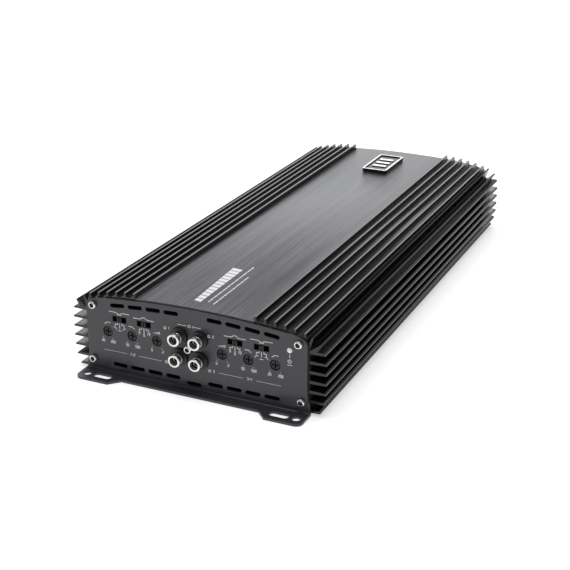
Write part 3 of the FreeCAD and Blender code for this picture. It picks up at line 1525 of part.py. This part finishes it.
for thing in doc.Objects:
    if "Invalid" in thing.State or "Error" in thing.State:
        raise RuntimeError("{} failed: {}".format(thing.Label, thing.State))
for thing in sub_parts:
    if thing.Shape.isNull() or not thing.Shape.isValid():
        raise RuntimeError("{} has no valid shape".format(thing.Label))

os.makedirs("parts", exist_ok=True)
for thing in sub_parts:
    thing.Shape.exportStep("parts/{}.step".format(thing.Label))
    print("{:26s} {:9.1f} mm3 {:3d} solids".format(
        thing.Label, thing.Shape.Volume, len(thing.Shape.Solids)))
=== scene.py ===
import json
import math

import bpy
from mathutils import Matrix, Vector


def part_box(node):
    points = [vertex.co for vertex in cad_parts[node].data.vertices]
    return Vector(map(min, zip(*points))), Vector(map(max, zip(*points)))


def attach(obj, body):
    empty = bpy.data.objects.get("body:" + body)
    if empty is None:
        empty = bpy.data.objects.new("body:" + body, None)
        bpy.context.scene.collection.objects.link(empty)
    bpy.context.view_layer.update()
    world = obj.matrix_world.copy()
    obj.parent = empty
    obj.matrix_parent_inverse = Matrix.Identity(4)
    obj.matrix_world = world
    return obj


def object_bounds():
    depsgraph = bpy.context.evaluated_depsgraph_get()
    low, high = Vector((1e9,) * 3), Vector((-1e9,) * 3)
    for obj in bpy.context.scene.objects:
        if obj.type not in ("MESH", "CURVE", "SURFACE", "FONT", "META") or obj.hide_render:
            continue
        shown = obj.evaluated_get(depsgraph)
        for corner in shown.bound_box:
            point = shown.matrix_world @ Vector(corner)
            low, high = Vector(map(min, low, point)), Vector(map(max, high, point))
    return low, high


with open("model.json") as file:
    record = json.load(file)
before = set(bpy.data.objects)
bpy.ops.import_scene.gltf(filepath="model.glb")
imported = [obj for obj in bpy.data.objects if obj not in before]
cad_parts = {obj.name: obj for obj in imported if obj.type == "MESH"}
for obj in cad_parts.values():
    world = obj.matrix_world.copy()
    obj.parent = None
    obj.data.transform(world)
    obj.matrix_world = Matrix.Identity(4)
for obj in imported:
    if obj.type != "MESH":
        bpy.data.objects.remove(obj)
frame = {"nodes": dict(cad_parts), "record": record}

# Car amplifier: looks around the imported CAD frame. Metres, Z up, control end towards -Y.

cad_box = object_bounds()
nodes = frame["nodes"]
MM = 0.001

# Where the faces of the case lie, from the frame.
case_low, case_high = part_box("heatsink_extrusion")
panel_low, panel_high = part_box("top_panel")
PLATE_SHEET = 1.6 * MM
front_face = case_low.y - PLATE_SHEET
rear_face = case_high.y + PLATE_SHEET


# ---------------------------------------------------------------- camera and room

def add_camera():
    data = bpy.data.cameras.new("camera")
    data.lens = 76.07
    data.sensor_width = 36.0
    data.clip_start = 0.05
    data.clip_end = 50.0
    camera = bpy.data.objects.new("camera", data)
    camera.location = (0.3295, front_face - 0.5833, 0.34695)
    camera.rotation_euler = (math.radians(90.0 - 22.413), 0.0, math.radians(24.638))
    bpy.context.scene.collection.objects.link(camera)
    bpy.context.scene.camera = camera


BOX_DISTANCE = 1.6
FLOOR_HALF = 14.0
FLOOR_GAP = 0.2 * MM


def softbox(name, azimuth, elevation, distance, size, radiance):
    """An area light that faces the case. Azimuth 0 stands behind the terminal end and grows
    towards -X; the radiance is what its face shows."""
    turn = math.radians(azimuth)
    rise = math.radians(elevation)
    place = Vector((-math.sin(turn) * math.cos(rise), math.cos(turn) * math.cos(rise),
                    math.sin(rise))) * distance
    data = bpy.data.lights.new(name, "AREA")
    data.shape = "RECTANGLE"
    data.size, data.size_y = size
    data.energy = radiance * math.pi * size[0] * size[1]
    light = bpy.data.objects.new(name, data)
    light.location = place
    light.rotation_euler = (-place).to_track_quat("-Z", "Y").to_euler()
    bpy.context.scene.collection.objects.link(light)


def add_room():
    world = bpy.data.worlds.new("studio")
    world.use_nodes = True
    background = world.node_tree.nodes["Background"]
    background.inputs["Color"].default_value = (0.96, 0.97, 1.0, 1.0)
    background.inputs["Strength"].default_value = 0.3
    bpy.context.scene.world = world
    mesh = bpy.data.meshes.new("floor")
    level = cad_box[0].z - FLOOR_GAP
    corners = [(-FLOOR_HALF, -FLOOR_HALF, level), (FLOOR_HALF, -FLOOR_HALF, level),
               (FLOOR_HALF, FLOOR_HALF, level), (-FLOOR_HALF, FLOOR_HALF, level)]
    mesh.from_pydata(corners, [], [(0, 1, 2, 3)])
    floor = bpy.data.objects.new("floor", mesh)
    bpy.context.scene.collection.objects.link(floor)
    floor.data.materials.append(floor_paper())
    softbox("key_box", 47.0, 21.0, BOX_DISTANCE, (2.5, 1.05), 1.45)
    softbox("back_box", -32.0, 17.0, BOX_DISTANCE, (1.5, 0.8), 0.32)
    softbox("top_box", 180.0, 86.0, 1.4, (0.9, 0.9), 3.6)
    bpy.context.scene.view_settings.view_transform = "Standard"


# ---------------------------------------------------------------- materials

class Shader:
    """A node material: small helpers that return sockets."""

    def __init__(self, name):
        self.material = bpy.data.materials.new(name)
        self.material.use_nodes = True
        self.tree = self.material.node_tree
        self.surface = self.tree.nodes["Principled BSDF"]
        self.coordinates = self.node("ShaderNodeTexCoord")
        self.place = self.coordinates.outputs["Object"]

    def node(self, kind, **settings):
        made = self.tree.nodes.new(kind)
        for key, value in settings.items():
            setattr(made, key, value)
        return made

    def feed(self, socket, value):
        if hasattr(value, "is_output"):
            self.tree.links.new(value, socket)
        else:
            socket.default_value = value

    def set(self, **inputs):
        for key, value in inputs.items():
            self.feed(self.surface.inputs[key.replace("_", " ")], value)
        return self

    def stretched(self, scale):
        """Object coordinates, scaled by a factor along each axis."""
        mapping = self.node("ShaderNodeMapping")
        self.feed(mapping.inputs["Vector"], self.place)
        mapping.inputs["Scale"].default_value = scale
        return mapping.outputs["Vector"]

    def noise(self, scale, detail=2.0, rough=0.5, stretch=(1.0, 1.0, 1.0)):
        made = self.node("ShaderNodeTexNoise")
        self.feed(made.inputs["Vector"], self.stretched(stretch))
        made.inputs["Scale"].default_value = scale
        made.inputs["Detail"].default_value = detail
        made.inputs["Roughness"].default_value = rough
        return made.outputs["Fac"]

    def span(self, value, low, high, start=0.0, end=1.0):
        """A value from start to end, mapped to low to high and kept inside."""
        made = self.node("ShaderNodeMapRange")
        self.feed(made.inputs["Value"], value)
        made.inputs["From Min"].default_value = start
        made.inputs["From Max"].default_value = end
        made.inputs["To Min"].default_value = low
        made.inputs["To Max"].default_value = high
        return made.outputs["Result"]

    def blend(self, amount, first, second):
        """A colour between two colours."""
        made = self.node("ShaderNodeMix", data_type="RGBA")
        self.feed(made.inputs["Factor"], amount)
        self.feed(made.inputs["A"], first)
        self.feed(made.inputs["B"], second)
        return made.outputs["Result"]

    def maths(self, operation, first, second=0.0):
        made = self.node("ShaderNodeMath", operation=operation)
        self.feed(made.inputs[0], first)
        self.feed(made.inputs[1], second)
        return made.outputs[0]

    def bump(self, height, distance, strength=1.0, under=None):
        made = self.node("ShaderNodeBump")
        self.feed(made.inputs["Height"], height)
        made.inputs["Distance"].default_value = distance
        made.inputs["Strength"].default_value = strength
        if under is not None:
            self.feed(made.inputs["Normal"], under)
        return made.outputs["Normal"]


def grey(level):
    return (level, level, level, 1.0)


def floor_paper():
    """White paper that glows a little, as a lit sweep does."""
    made = Shader("floor_paper")
    tone = made.blend(made.noise(3.0), grey(0.84), grey(0.87))
    made.set(Base_Color=tone, Roughness=0.9, Emission_Color=tone)
    made.surface.inputs["Emission Strength"].default_value = 0.64
    return made.material


def black_anodised():
    """Black anodised extrusion: semi-gloss, with fine die lines along its length."""
    made = Shader("black_anodised")
    lines = made.noise(1.0, 3.0, 0.6, (5200.0, 14.0, 5200.0))
    cloud = made.noise(34.0, 3.0)
    tone = made.blend(cloud, (0.0035, 0.0035, 0.004, 1.0), (0.007, 0.007, 0.008, 1.0))
    rough = made.maths("ADD", made.span(lines, 0.17, 0.25), made.span(cloud, -0.02, 0.03))
    made.set(Base_Color=tone, Roughness=rough, Normal=made.bump(lines, 0.000012))
    made.surface.inputs["Specular IOR Level"].default_value = 0.55
    return made.material


def brushed_panel():
    """Gunmetal anodised strip, brushed along its length."""
    made = Shader("brushed_panel")
    fine = made.noise(1.0, 4.0, 0.7, (9000.0, 26.0, 9000.0))
    broad = made.noise(1.0, 2.0, 0.5, (900.0, 7.0, 900.0))
    mix = made.maths("ADD", made.maths("MULTIPLY", fine, 0.65), made.maths("MULTIPLY", broad, 0.35))
    tone = made.blend(made.span(mix, 0.0, 1.0, 0.36, 0.64),
                      (0.085, 0.087, 0.092, 1.0), (0.270, 0.273, 0.285, 1.0))
    made.set(Base_Color=tone, Roughness=made.span(mix, 0.36, 0.50, 0.3, 0.7),
             Normal=made.bump(fine, 0.00004, 0.7))
    made.surface.inputs["Metallic"].default_value = 1.0
    return made.material


def powder_coat(name, dark, light, roughness, grain):
    made = Shader(name)
    speck = made.noise(2600.0, 2.0, 0.6)
    cloud = made.noise(22.0, 3.0)
    rough = made.maths("ADD", made.span(speck, roughness - 0.05, roughness + 0.06),
                       made.span(cloud, -0.03, 0.03))
    made.set(Base_Color=made.blend(cloud, dark, light), Roughness=rough,
             Normal=made.bump(speck, grain))
    return made.material


def bright_metal(name, dark, light, roughness):
    """Plated metal with fine scratches; painted shade turns it near black deep inside its recesses."""
    made = Shader(name)
    haze = made.noise(900.0, 3.0, 0.6)
    scratch = made.noise(1.0, 2.0, 0.6, (2500.0, 2500.0, 240.0))
    # Painted shade: ambient occlusion darkens the colour towards near black inside recesses such as hex
    # sockets and socket bores.
    recess = made.node("ShaderNodeAmbientOcclusion", samples=8)
    recess.inputs["Distance"].default_value = 3.0 * MM
    shade = made.span(recess.outputs["AO"], 0.0, 1.0, 0.25, 0.6)
    made.set(Base_Color=made.blend(shade, grey(0.01), made.blend(haze, dark, light)),
             Roughness=made.span(scratch, roughness - 0.05, roughness + 0.09, 0.3, 0.7),
             Normal=made.bump(scratch, 0.000004))
    made.surface.inputs["Metallic"].default_value = 1.0
    return made.material


def chrome_painted_dark_sides():
    """Chrome on the faces that point up; faces that point sideways or down are painted near black as
    shade, chosen by which way each face points.
    """
    made = Shader("chrome_painted_dark_sides")
    parts = made.node("ShaderNodeSeparateXYZ")
    made.feed(parts.inputs["Vector"], made.coordinates.outputs["Normal"])
    # Painted shade: faces that do not point up get a near-black colour and lose their metal, standing in
    # for the dark reflections of chrome sides.
    upward = made.span(parts.outputs["Z"], 0.0, 1.0, 0.35, 0.6)
    haze = made.noise(900.0, 3.0, 0.6)
    chrome = made.blend(haze, grey(0.66), grey(0.80))
    black = made.blend(haze, grey(0.004), grey(0.008))
    made.set(Base_Color=made.blend(upward, black, chrome), Metallic=upward,
             Roughness=made.span(haze, 0.10, 0.20))
    return made.material


def moulded(name, dark, light, roughness, grain=0.000012):
    made = Shader(name)
    speck = made.noise(1800.0, 2.0)
    cloud = made.noise(60.0, 2.0)
    made.set(Base_Color=made.blend(cloud, dark, light),
             Roughness=made.span(speck, roughness - 0.06, roughness + 0.08),
             Normal=made.bump(speck, grain))
    return made.material


def board_mask():
    """Green solder mask with paler copper tracks under it."""
    made = Shader("board_mask")
    cells = made.node("ShaderNodeTexVoronoi", feature="DISTANCE_TO_EDGE", distance="CHEBYCHEV")
    made.feed(cells.inputs["Vector"], made.place)
    cells.inputs["Scale"].default_value = 260.0
    tracks = made.span(cells.outputs["Distance"], 1.0, 0.0, 0.02, 0.08)
    tone = made.blend(tracks, (0.008, 0.075, 0.03, 1.0), (0.03, 0.17, 0.06, 1.0))
    made.set(Base_Color=tone, Roughness=made.span(made.noise(400.0), 0.25, 0.4),
             Normal=made.bump(tracks, 0.00003))
    return made.material


def wire_turns():
    """Enamelled copper, wound turn by turn."""
    made = Shader("wire_turns")
    wave = made.node("ShaderNodeTexWave", wave_type="BANDS", bands_direction="X")
    made.feed(wave.inputs["Vector"], made.place)
    wave.inputs["Scale"].default_value = 320.0
    wave.inputs["Distortion"].default_value = 1.5
    tone = made.blend(wave.outputs["Fac"], (0.20, 0.055, 0.018, 1.0), (0.62, 0.25, 0.10, 1.0))
    made.set(Base_Color=tone, Roughness=made.span(wave.outputs["Fac"], 0.45, 0.25),
             Normal=made.bump(wave.outputs["Fac"], 0.0003))
    made.surface.inputs["Metallic"].default_value = 0.8
    return made.material


def clear_plastic(name, dark, light, weight):
    made = Shader(name)
    cloud = made.noise(500.0, 2.0)
    made.set(Base_Color=made.blend(cloud, dark, light), Roughness=made.span(cloud, 0.12, 0.25),
             Normal=made.bump(cloud, 0.00001))
    made.surface.inputs["Transmission Weight"].default_value = weight
    return made.material


def make_materials():
    """One material for each slot of the record."""
    return {
        "black_anodised": black_anodised(),
        "brushed_panel": brushed_panel(),
        "bright_metal": chrome_painted_dark_sides(),
        "badge_black": moulded("badge_black", grey(0.006), grey(0.010), 0.25),
        "plate_paint": powder_coat("plate_paint", (0.039, 0.0372, 0.045, 1.0),
                                   (0.048, 0.046, 0.055, 1.0), 0.30, 0.000006),
        "bottom_paint": powder_coat("bottom_paint", grey(0.012), grey(0.02), 0.5, 0.00002),
        "screw_nickel": bright_metal("screw_nickel", (0.70, 0.69, 0.66, 1.0),
                                     (0.84, 0.83, 0.80, 1.0), 0.14),
        "board_green": board_mask(),
        "black_plastic": moulded("black_plastic", grey(0.004), grey(0.007), 0.38),
        "lamp_lens": clear_plastic("lamp_lens", grey(0.92), grey(0.98), 0.02),
        "contact_metal": bright_metal("contact_metal", grey(0.70), grey(0.82), 0.2),
        "fuse_plastic": clear_plastic("fuse_plastic", (0.62, 0.02, 0.012, 1.0),
                                      (0.75, 0.04, 0.02, 1.0), 0.35),
        "device_black": moulded("device_black", grey(0.014), grey(0.024), 0.5),
        "pad_grey": moulded("pad_grey", grey(0.30), grey(0.38), 0.75),
        "zinc_steel": bright_metal("zinc_steel", (0.48, 0.49, 0.50, 1.0),
                                   (0.64, 0.65, 0.66, 1.0), 0.3),
        "ferrite": moulded("ferrite", grey(0.03), grey(0.05), 0.55),
        "copper_wire": wire_turns(),
        "can_sleeve": moulded("can_sleeve", (0.012, 0.018, 0.05, 1.0), (0.02, 0.03, 0.075, 1.0), 0.3),
        "shaft_black": moulded("shaft_black", grey(0.004), grey(0.008), 0.45),
        "slider_black": moulded("slider_black", grey(0.003), grey(0.006), 0.5),
    }


def dress_nodes(materials):
    slots = {entry["node"]: entry["material_slot"] for entry in frame["record"]["subparts"]}
    for name, node in nodes.items():
        node.data.materials.clear()
        node.data.materials.append(materials[slots[name]])


def round_edges(widths):
    """Small rounds on the sharp edges of these nodes, so that they catch the light."""
    for name, width in widths.items():
        node = nodes[name]
        weld = node.modifiers.new("weld", "WELD")
        weld.merge_threshold = 0.002 * MM
        bevel = node.modifiers.new("bevel", "BEVEL")
        bevel.width = width * MM
        bevel.segments = 2
        bevel.limit_method = "ANGLE"
        bevel.angle_limit = math.radians(35.0)
        bevel.harden_normals = True


# ---------------------------------------------------------------- printed marks

# Strokes of the numerals on a grid two wide and four high.
NUMERALS = {
    "0": [[(0, 0), (2, 0), (2, 4), (0, 4), (0, 0)]],
    "1": [[(0.2, 3.2), (1, 4), (1, 0)]],
    "2": [[(0, 4), (2, 4), (2, 2), (0, 2), (0, 0), (2, 0)]],
    "3": [[(0, 4), (2, 4), (2, 0), (0, 0)], [(0.5, 2), (2, 2)]],
    "4": [[(0, 4), (0, 2), (2, 2)], [(2, 4), (2, 0)]],
    "5": [[(2, 4), (0, 4), (0, 2), (2, 2), (2, 0), (0, 0)]],
    "6": [[(2, 4), (0, 4), (0, 0), (2, 0), (2, 2), (0, 2)]],
    "8": [[(0, 0), (2, 0), (2, 4), (0, 4), (0, 0)], [(0, 2), (2, 2)]],
    ".": [[(0.7, 0), (1.3, 0)]],
    "+": [[(0, 2), (2, 2)], [(1, 1), (1, 3)]],
    "-": [[(0, 2), (2, 2)]],
}

# Little curves, one wide and one high, that name a control without words.
HIGH_PASS = [(0.0, 0.0), (0.15, 0.1), (0.35, 0.8), (0.5, 1.0), (1.0, 1.0)]
LOW_PASS = [(0.0, 1.0), (0.5, 1.0), (0.65, 0.8), (0.85, 0.1), (1.0, 0.0)]
FLAT = [(0.0, 0.5), (1.0, 0.5)]
HUMP = [(0.0, 0.1), (0.28, 0.1), (0.36, 0.3), (0.44, 0.9), (0.5, 1.0), (0.56, 0.9), (0.64, 0.3),
        (0.72, 0.1), (1.0, 0.1)]
WEDGE = [(0.0, 0.0), (1.0, 0.0), (1.0, 1.0), (0.0, 0.0)]


class Print:
    """Flat printed marks on a plane: points are millimetres along its two axes."""

    def __init__(self, name, origin, across, up, line=0.24):
        self.name = name
        self.origin = Vector(origin)
        self.across = Vector(across)
        self.up = Vector(up)
        self.line = line
        self.patches = []

    def patch(self, points):
        self.patches.append(points)

    def bar(self, u, v, width, height, lean=0.0):
        """A bar on its lower left corner, whose top leans over."""
        self.patch([(u, v), (u + width, v), (u + width + lean, v + height), (u + lean, v + height)])

    def stroke(self, points, line=None):
        """A line of even width with mitred corners."""
        half = (line or self.line) / 2
        spots = [Vector(point) for point in points]
        loop = (spots[0] - spots[-1]).length < 1e-6
        if loop:
            spots.pop()
        count = len(spots)
        sides = []
        for index, spot in enumerate(spots):
            before = spots[index - 1] if loop or index > 0 else None
            after = spots[(index + 1) % count] if loop or index < count - 1 else None
            ways = [(b - a).normalized() for a, b in ((before, spot), (spot, after))
                    if a is not None and b is not None]
            way = sum(ways, Vector((0.0, 0.0))).normalized()
            normal = Vector((-way.y, way.x))
            reach = half / max(normal.dot(Vector((-ways[0].y, ways[0].x))), 0.4)
            sides.append((spot + normal * reach, spot - normal * reach))
        for index in range(count if loop else count - 1):
            (a, b), (c, d) = sides[index], sides[(index + 1) % count]
            self.patch([tuple(b), tuple(d), tuple(c), tuple(a)])

    def curve(self, shape, u, v, width, height):
        self.stroke([(u + width * x, v + height * y) for x, y in shape])

    def ring(self, u, v, radius, start=0.0, end=360.0):
        steps = 20
        angles = [math.radians(start + (end - start) * step / steps) for step in range(steps + 1)]
        self.stroke([(u + radius * math.cos(a), v + radius * math.sin(a)) for a in angles])

    def number(self, text, u, v, height=1.6):
        """Numerals centred on u that stand on v."""
        unit = height / 4
        pitch = 3.0 * unit
        left = u - (len(text) * pitch - unit) / 2
        for index, sign in enumerate(text):
            for strokes in NUMERALS[sign]:
                self.stroke([(left + index * pitch + x * unit, v + y * unit) for x, y in strokes],
                            height * 0.17)

    def lay(self, material, thickness=0.035):
        """Turn the patches into one mesh of thin closed slabs that rides on the case."""
        normal = self.across.cross(self.up)
        corners = []
        faces = []
        for points in self.patches:
            first = len(corners)
            count = len(points)
            for height in (0.0, thickness):
                for u, v in points:
                    corners.append(self.origin + (self.across * u + self.up * v
                                                  + normal * height) * MM)
            bottom = list(range(first, first + count))
            top = [index + count for index in bottom]
            faces.append(top)
            faces.append(bottom[::-1])
            for index in range(count):
                after = (index + 1) % count
                faces.append([bottom[index], bottom[after], top[after], top[index]])
        mesh = bpy.data.meshes.new(self.name)
        mesh.from_pydata(corners, [], faces)
        mesh.materials.append(material)
        made = bpy.data.objects.new(self.name, mesh)
        bpy.context.scene.collection.objects.link(made)
        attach(made, "amplifier")
        return made


def node_centre(name):
    low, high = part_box(name)
    return (low + high) / 2 / MM


def front_marks(ink):
    """Scales and symbols round the controls, on the control end."""
    marks = Print("front_marks", (0.0, front_face, 0.0), (1.0, 0.0, 0.0), (0.0, 0.0, 1.0), 0.38)
    knobs = {"highpass_shaft_a": (HIGH_PASS, ("20", "200")), "lowpass_shaft_a": (LOW_PASS, ("50", "500")),
             "gain_shaft_a": (WEDGE, ("6", ".2")), "gain_shaft_b": (WEDGE, ("6", ".2")),
             "lowpass_shaft_b": (LOW_PASS, ("50", "500")), "highpass_shaft_b": (HIGH_PASS, ("20", "200"))}
    for name, (shape, ends) in knobs.items():
        # A curve over the control, and a tick and a number at each end of its turn.
        centre = node_centre(name)
        marks.curve(shape, centre.x - 2.2, centre.z + 5.2, 4.4, 1.2)
        for side, text in zip((-1, 1), ends):
            marks.bar(centre.x + side * 3.5 - 0.15, centre.z - 5.0, 0.3, 0.8)
            marks.number(text, centre.x + side * 3.7, centre.z - 7.5)
    for name, shapes in (("crossover_slider_a", (LOW_PASS, FLAT, HIGH_PASS)),
                         ("boost_slider_a", ("0", "6", "12")), ("boost_slider_b", ("0", "6", "12")),
                         ("crossover_slider_b", (HIGH_PASS, FLAT, LOW_PASS))):
        # A lead line runs from each place of the slider down to its sign.
        centre = node_centre(name)
        start = centre.z - 2.6
        elbow = centre.z - 3.6
        for step, shape in zip((-1, 0, 1), shapes):
            u = centre.x + step * 3.3
            drop = 5.6 if step else 6.9
            end = centre.z - drop + 0.5
            lead = [(u, start), (u, end)]
            if step:
                root = centre.x + step * 1.6
                lead = [(root, start), (root, elbow), (u, elbow), (u, end)]
            marks.stroke(lead)
            if isinstance(shape, str):
                marks.number(shape, u, centre.z - drop - 1.3)
            else:
                marks.curve(shape, u - 1.2, centre.z - drop - 1.3, 2.4, 1.2)
        if name.startswith("boost"):
            marks.curve(HUMP, centre.x - 7.4, centre.z + 3.1, 14.8, 1.5)
        else:
            marks.curve(LOW_PASS, centre.x - 7.4, centre.z + 3.1, 9.0, 1.5)
            marks.curve(HIGH_PASS, centre.x - 1.6, centre.z + 3.1, 9.0, 1.5)
    rule_level = 16.4
    rule_gap = 4.5
    for left, right, text in ((-64.6, -22.7, "1+2"), (17.3, 59.4, "3+4")):
        middle = (left + right) / 2
        marks.stroke([(left, rule_level), (middle - rule_gap, rule_level)], 0.2)
        marks.stroke([(middle + rule_gap, rule_level), (right, rule_level)], 0.2)
        marks.number(text, middle, 15.8)
    sockets = node_centre("input_sleeves")
    for text, u, v in (("1", -15.2, 9.8), ("2", 15.4, 9.8), ("3", 15.4, -13.4), ("4", -15.2, -13.4)):
        marks.ring(sockets.x + u - 1.9, sockets.z + v + 0.65, 0.75)
        marks.number(text, sockets.x + u + 0.9, sockets.z + v)
    sign_level = 43.9
    marks.ring(sockets.x, sign_level, 0.9)
    for side in (-1, 1):
        marks.stroke([(sockets.x + side * 8.0, sign_level), (sockets.x + side * 1.6, sign_level)])
        marks.patch([(sockets.x + side * 1.4, sign_level),
                     (sockets.x + side * 3.0, sign_level + side * 0.7),
                     (sockets.x + side * 3.0, sign_level - side * 0.7)])
    lamp = node_centre("status_lamp")
    marks.stroke([(lamp.x, lamp.z - 2.6), (lamp.x, lamp.z - 4.8)])
    marks.ring(lamp.x, lamp.z - 7.2, 1.1, 125.0, 415.0)
    marks.stroke([(lamp.x, lamp.z - 7.1), (lamp.x, lamp.z - 5.7)])
    marks.bar(lamp.x - 1.7, lamp.z - 9.8, 3.4, 0.3)
    return marks.lay(ink)


def top_marks(ink):
    """A rising level meter with two fine rules, read along the case."""
    middle = (panel_low.x + panel_high.x) / 2
    marks = Print("top_marks", (middle, front_face, panel_high.z), (0.0, 1.0, 0.0), (-1.0, 0.0, 0.0))
    pitch = 4.9
    for step in range(12):
        marks.bar(12.0 + pitch * step, 0.4, 4.1, 5.0 + 0.23 * step, 0.9)
    for v, start, end in ((-4.5, 14.0, 75.0), (-9.0, 12.0, 58.5)):
        u = start
        step = 0
        while u < end:
            width = (1.9, 3.1, 1.3, 2.4)[step % 4]
            marks.bar(u, v, width, 1.0)
            u += width + 0.7
            step += 1
    return marks.lay(ink)


def rear_marks(ink):
    """Signs and numbers over the terminals, read from behind."""
    marks = Print("rear_marks", (0.0, rear_face, 0.0), (-1.0, 0.0, 0.0), (0.0, 0.0, 1.0), 0.3)
    speaker = node_centre("speaker_terminal_block")
    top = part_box("speaker_terminal_block")[1].z / MM
    pitch = 8.2
    for index in range(8):
        u = -speaker.x + pitch * (index - 3.5)
        marks.number("+-"[index % 2], u, top + 1.6, 2.4)
    for pair in range(4):
        u = -speaker.x + 2 * pitch * (pair - 1.5)
        marks.stroke([(u - 5.4, top + 5.0), (u - 5.4, top + 6.0), (u + 5.4, top + 6.0),
                      (u + 5.4, top + 5.0)])
        marks.number("1234"[pair], u, top + 7.4, 2.4)
    supply = node_centre("supply_terminal_block")
    pitch = 13.2
    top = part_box("supply_terminal_block")[1].z / MM
    marks.number("+", -supply.x - pitch, top + 2.0, 3.2)
    marks.ring(-supply.x, top + 3.6, 1.5, 125.0, 415.0)
    marks.stroke([(-supply.x, top + 3.7), (-supply.x, top + 5.6)])
    ground = -supply.x + pitch
    marks.stroke([(ground, top + 5.6), (ground, top + 3.8)])
    for step in range(3):
        half = 1.8 - 0.6 * step
        marks.stroke([(ground - half, top + 3.8 - 0.8 * step), (ground + half, top + 3.8 - 0.8 * step)])
    holder = node_centre("fuse_holder")
    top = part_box("fuse_holder")[1].z / MM
    marks.stroke([(-holder.x - 3.0, top + 2.0), (-holder.x + 3.0, top + 2.0),
                  (-holder.x + 3.0, top + 4.2), (-holder.x - 3.0, top + 4.2),
                  (-holder.x - 3.0, top + 2.0)])
    marks.stroke([(-holder.x - 5.0, top + 3.1), (-holder.x + 5.0, top + 3.1)])
    return marks.lay(ink)


EDGES = {
    "heatsink_extrusion": 0.12, "top_panel": 0.15, "front_end_plate": 0.35, "rear_end_plate": 0.35,
    "badge_rim": 0.25, "badge_field": 0.15, "badge_bars": 0.2, "front_plate_screws": 0.12,
    "rear_plate_screws": 0.12, "input_socket_block": 0.15, "input_block_screw": 0.12,
    "input_sleeves": 0.12, "speaker_terminal_block": 0.25, "supply_terminal_block": 0.25,
    "fuse_holder": 0.25, "fuse_bodies": 0.3, "bottom_plate_screws": 0.1,
}

add_camera()
add_room()
materials = make_materials()
dress_nodes(materials)
round_edges(EDGES)
print_ink = moulded("print_ink", grey(0.76), grey(0.86), 0.5, 0.000004)
white_ink = moulded("white_ink", grey(0.88), grey(0.95), 0.45, 0.000004)
front_marks(print_ink)
rear_marks(print_ink)
top_marks(white_ink)
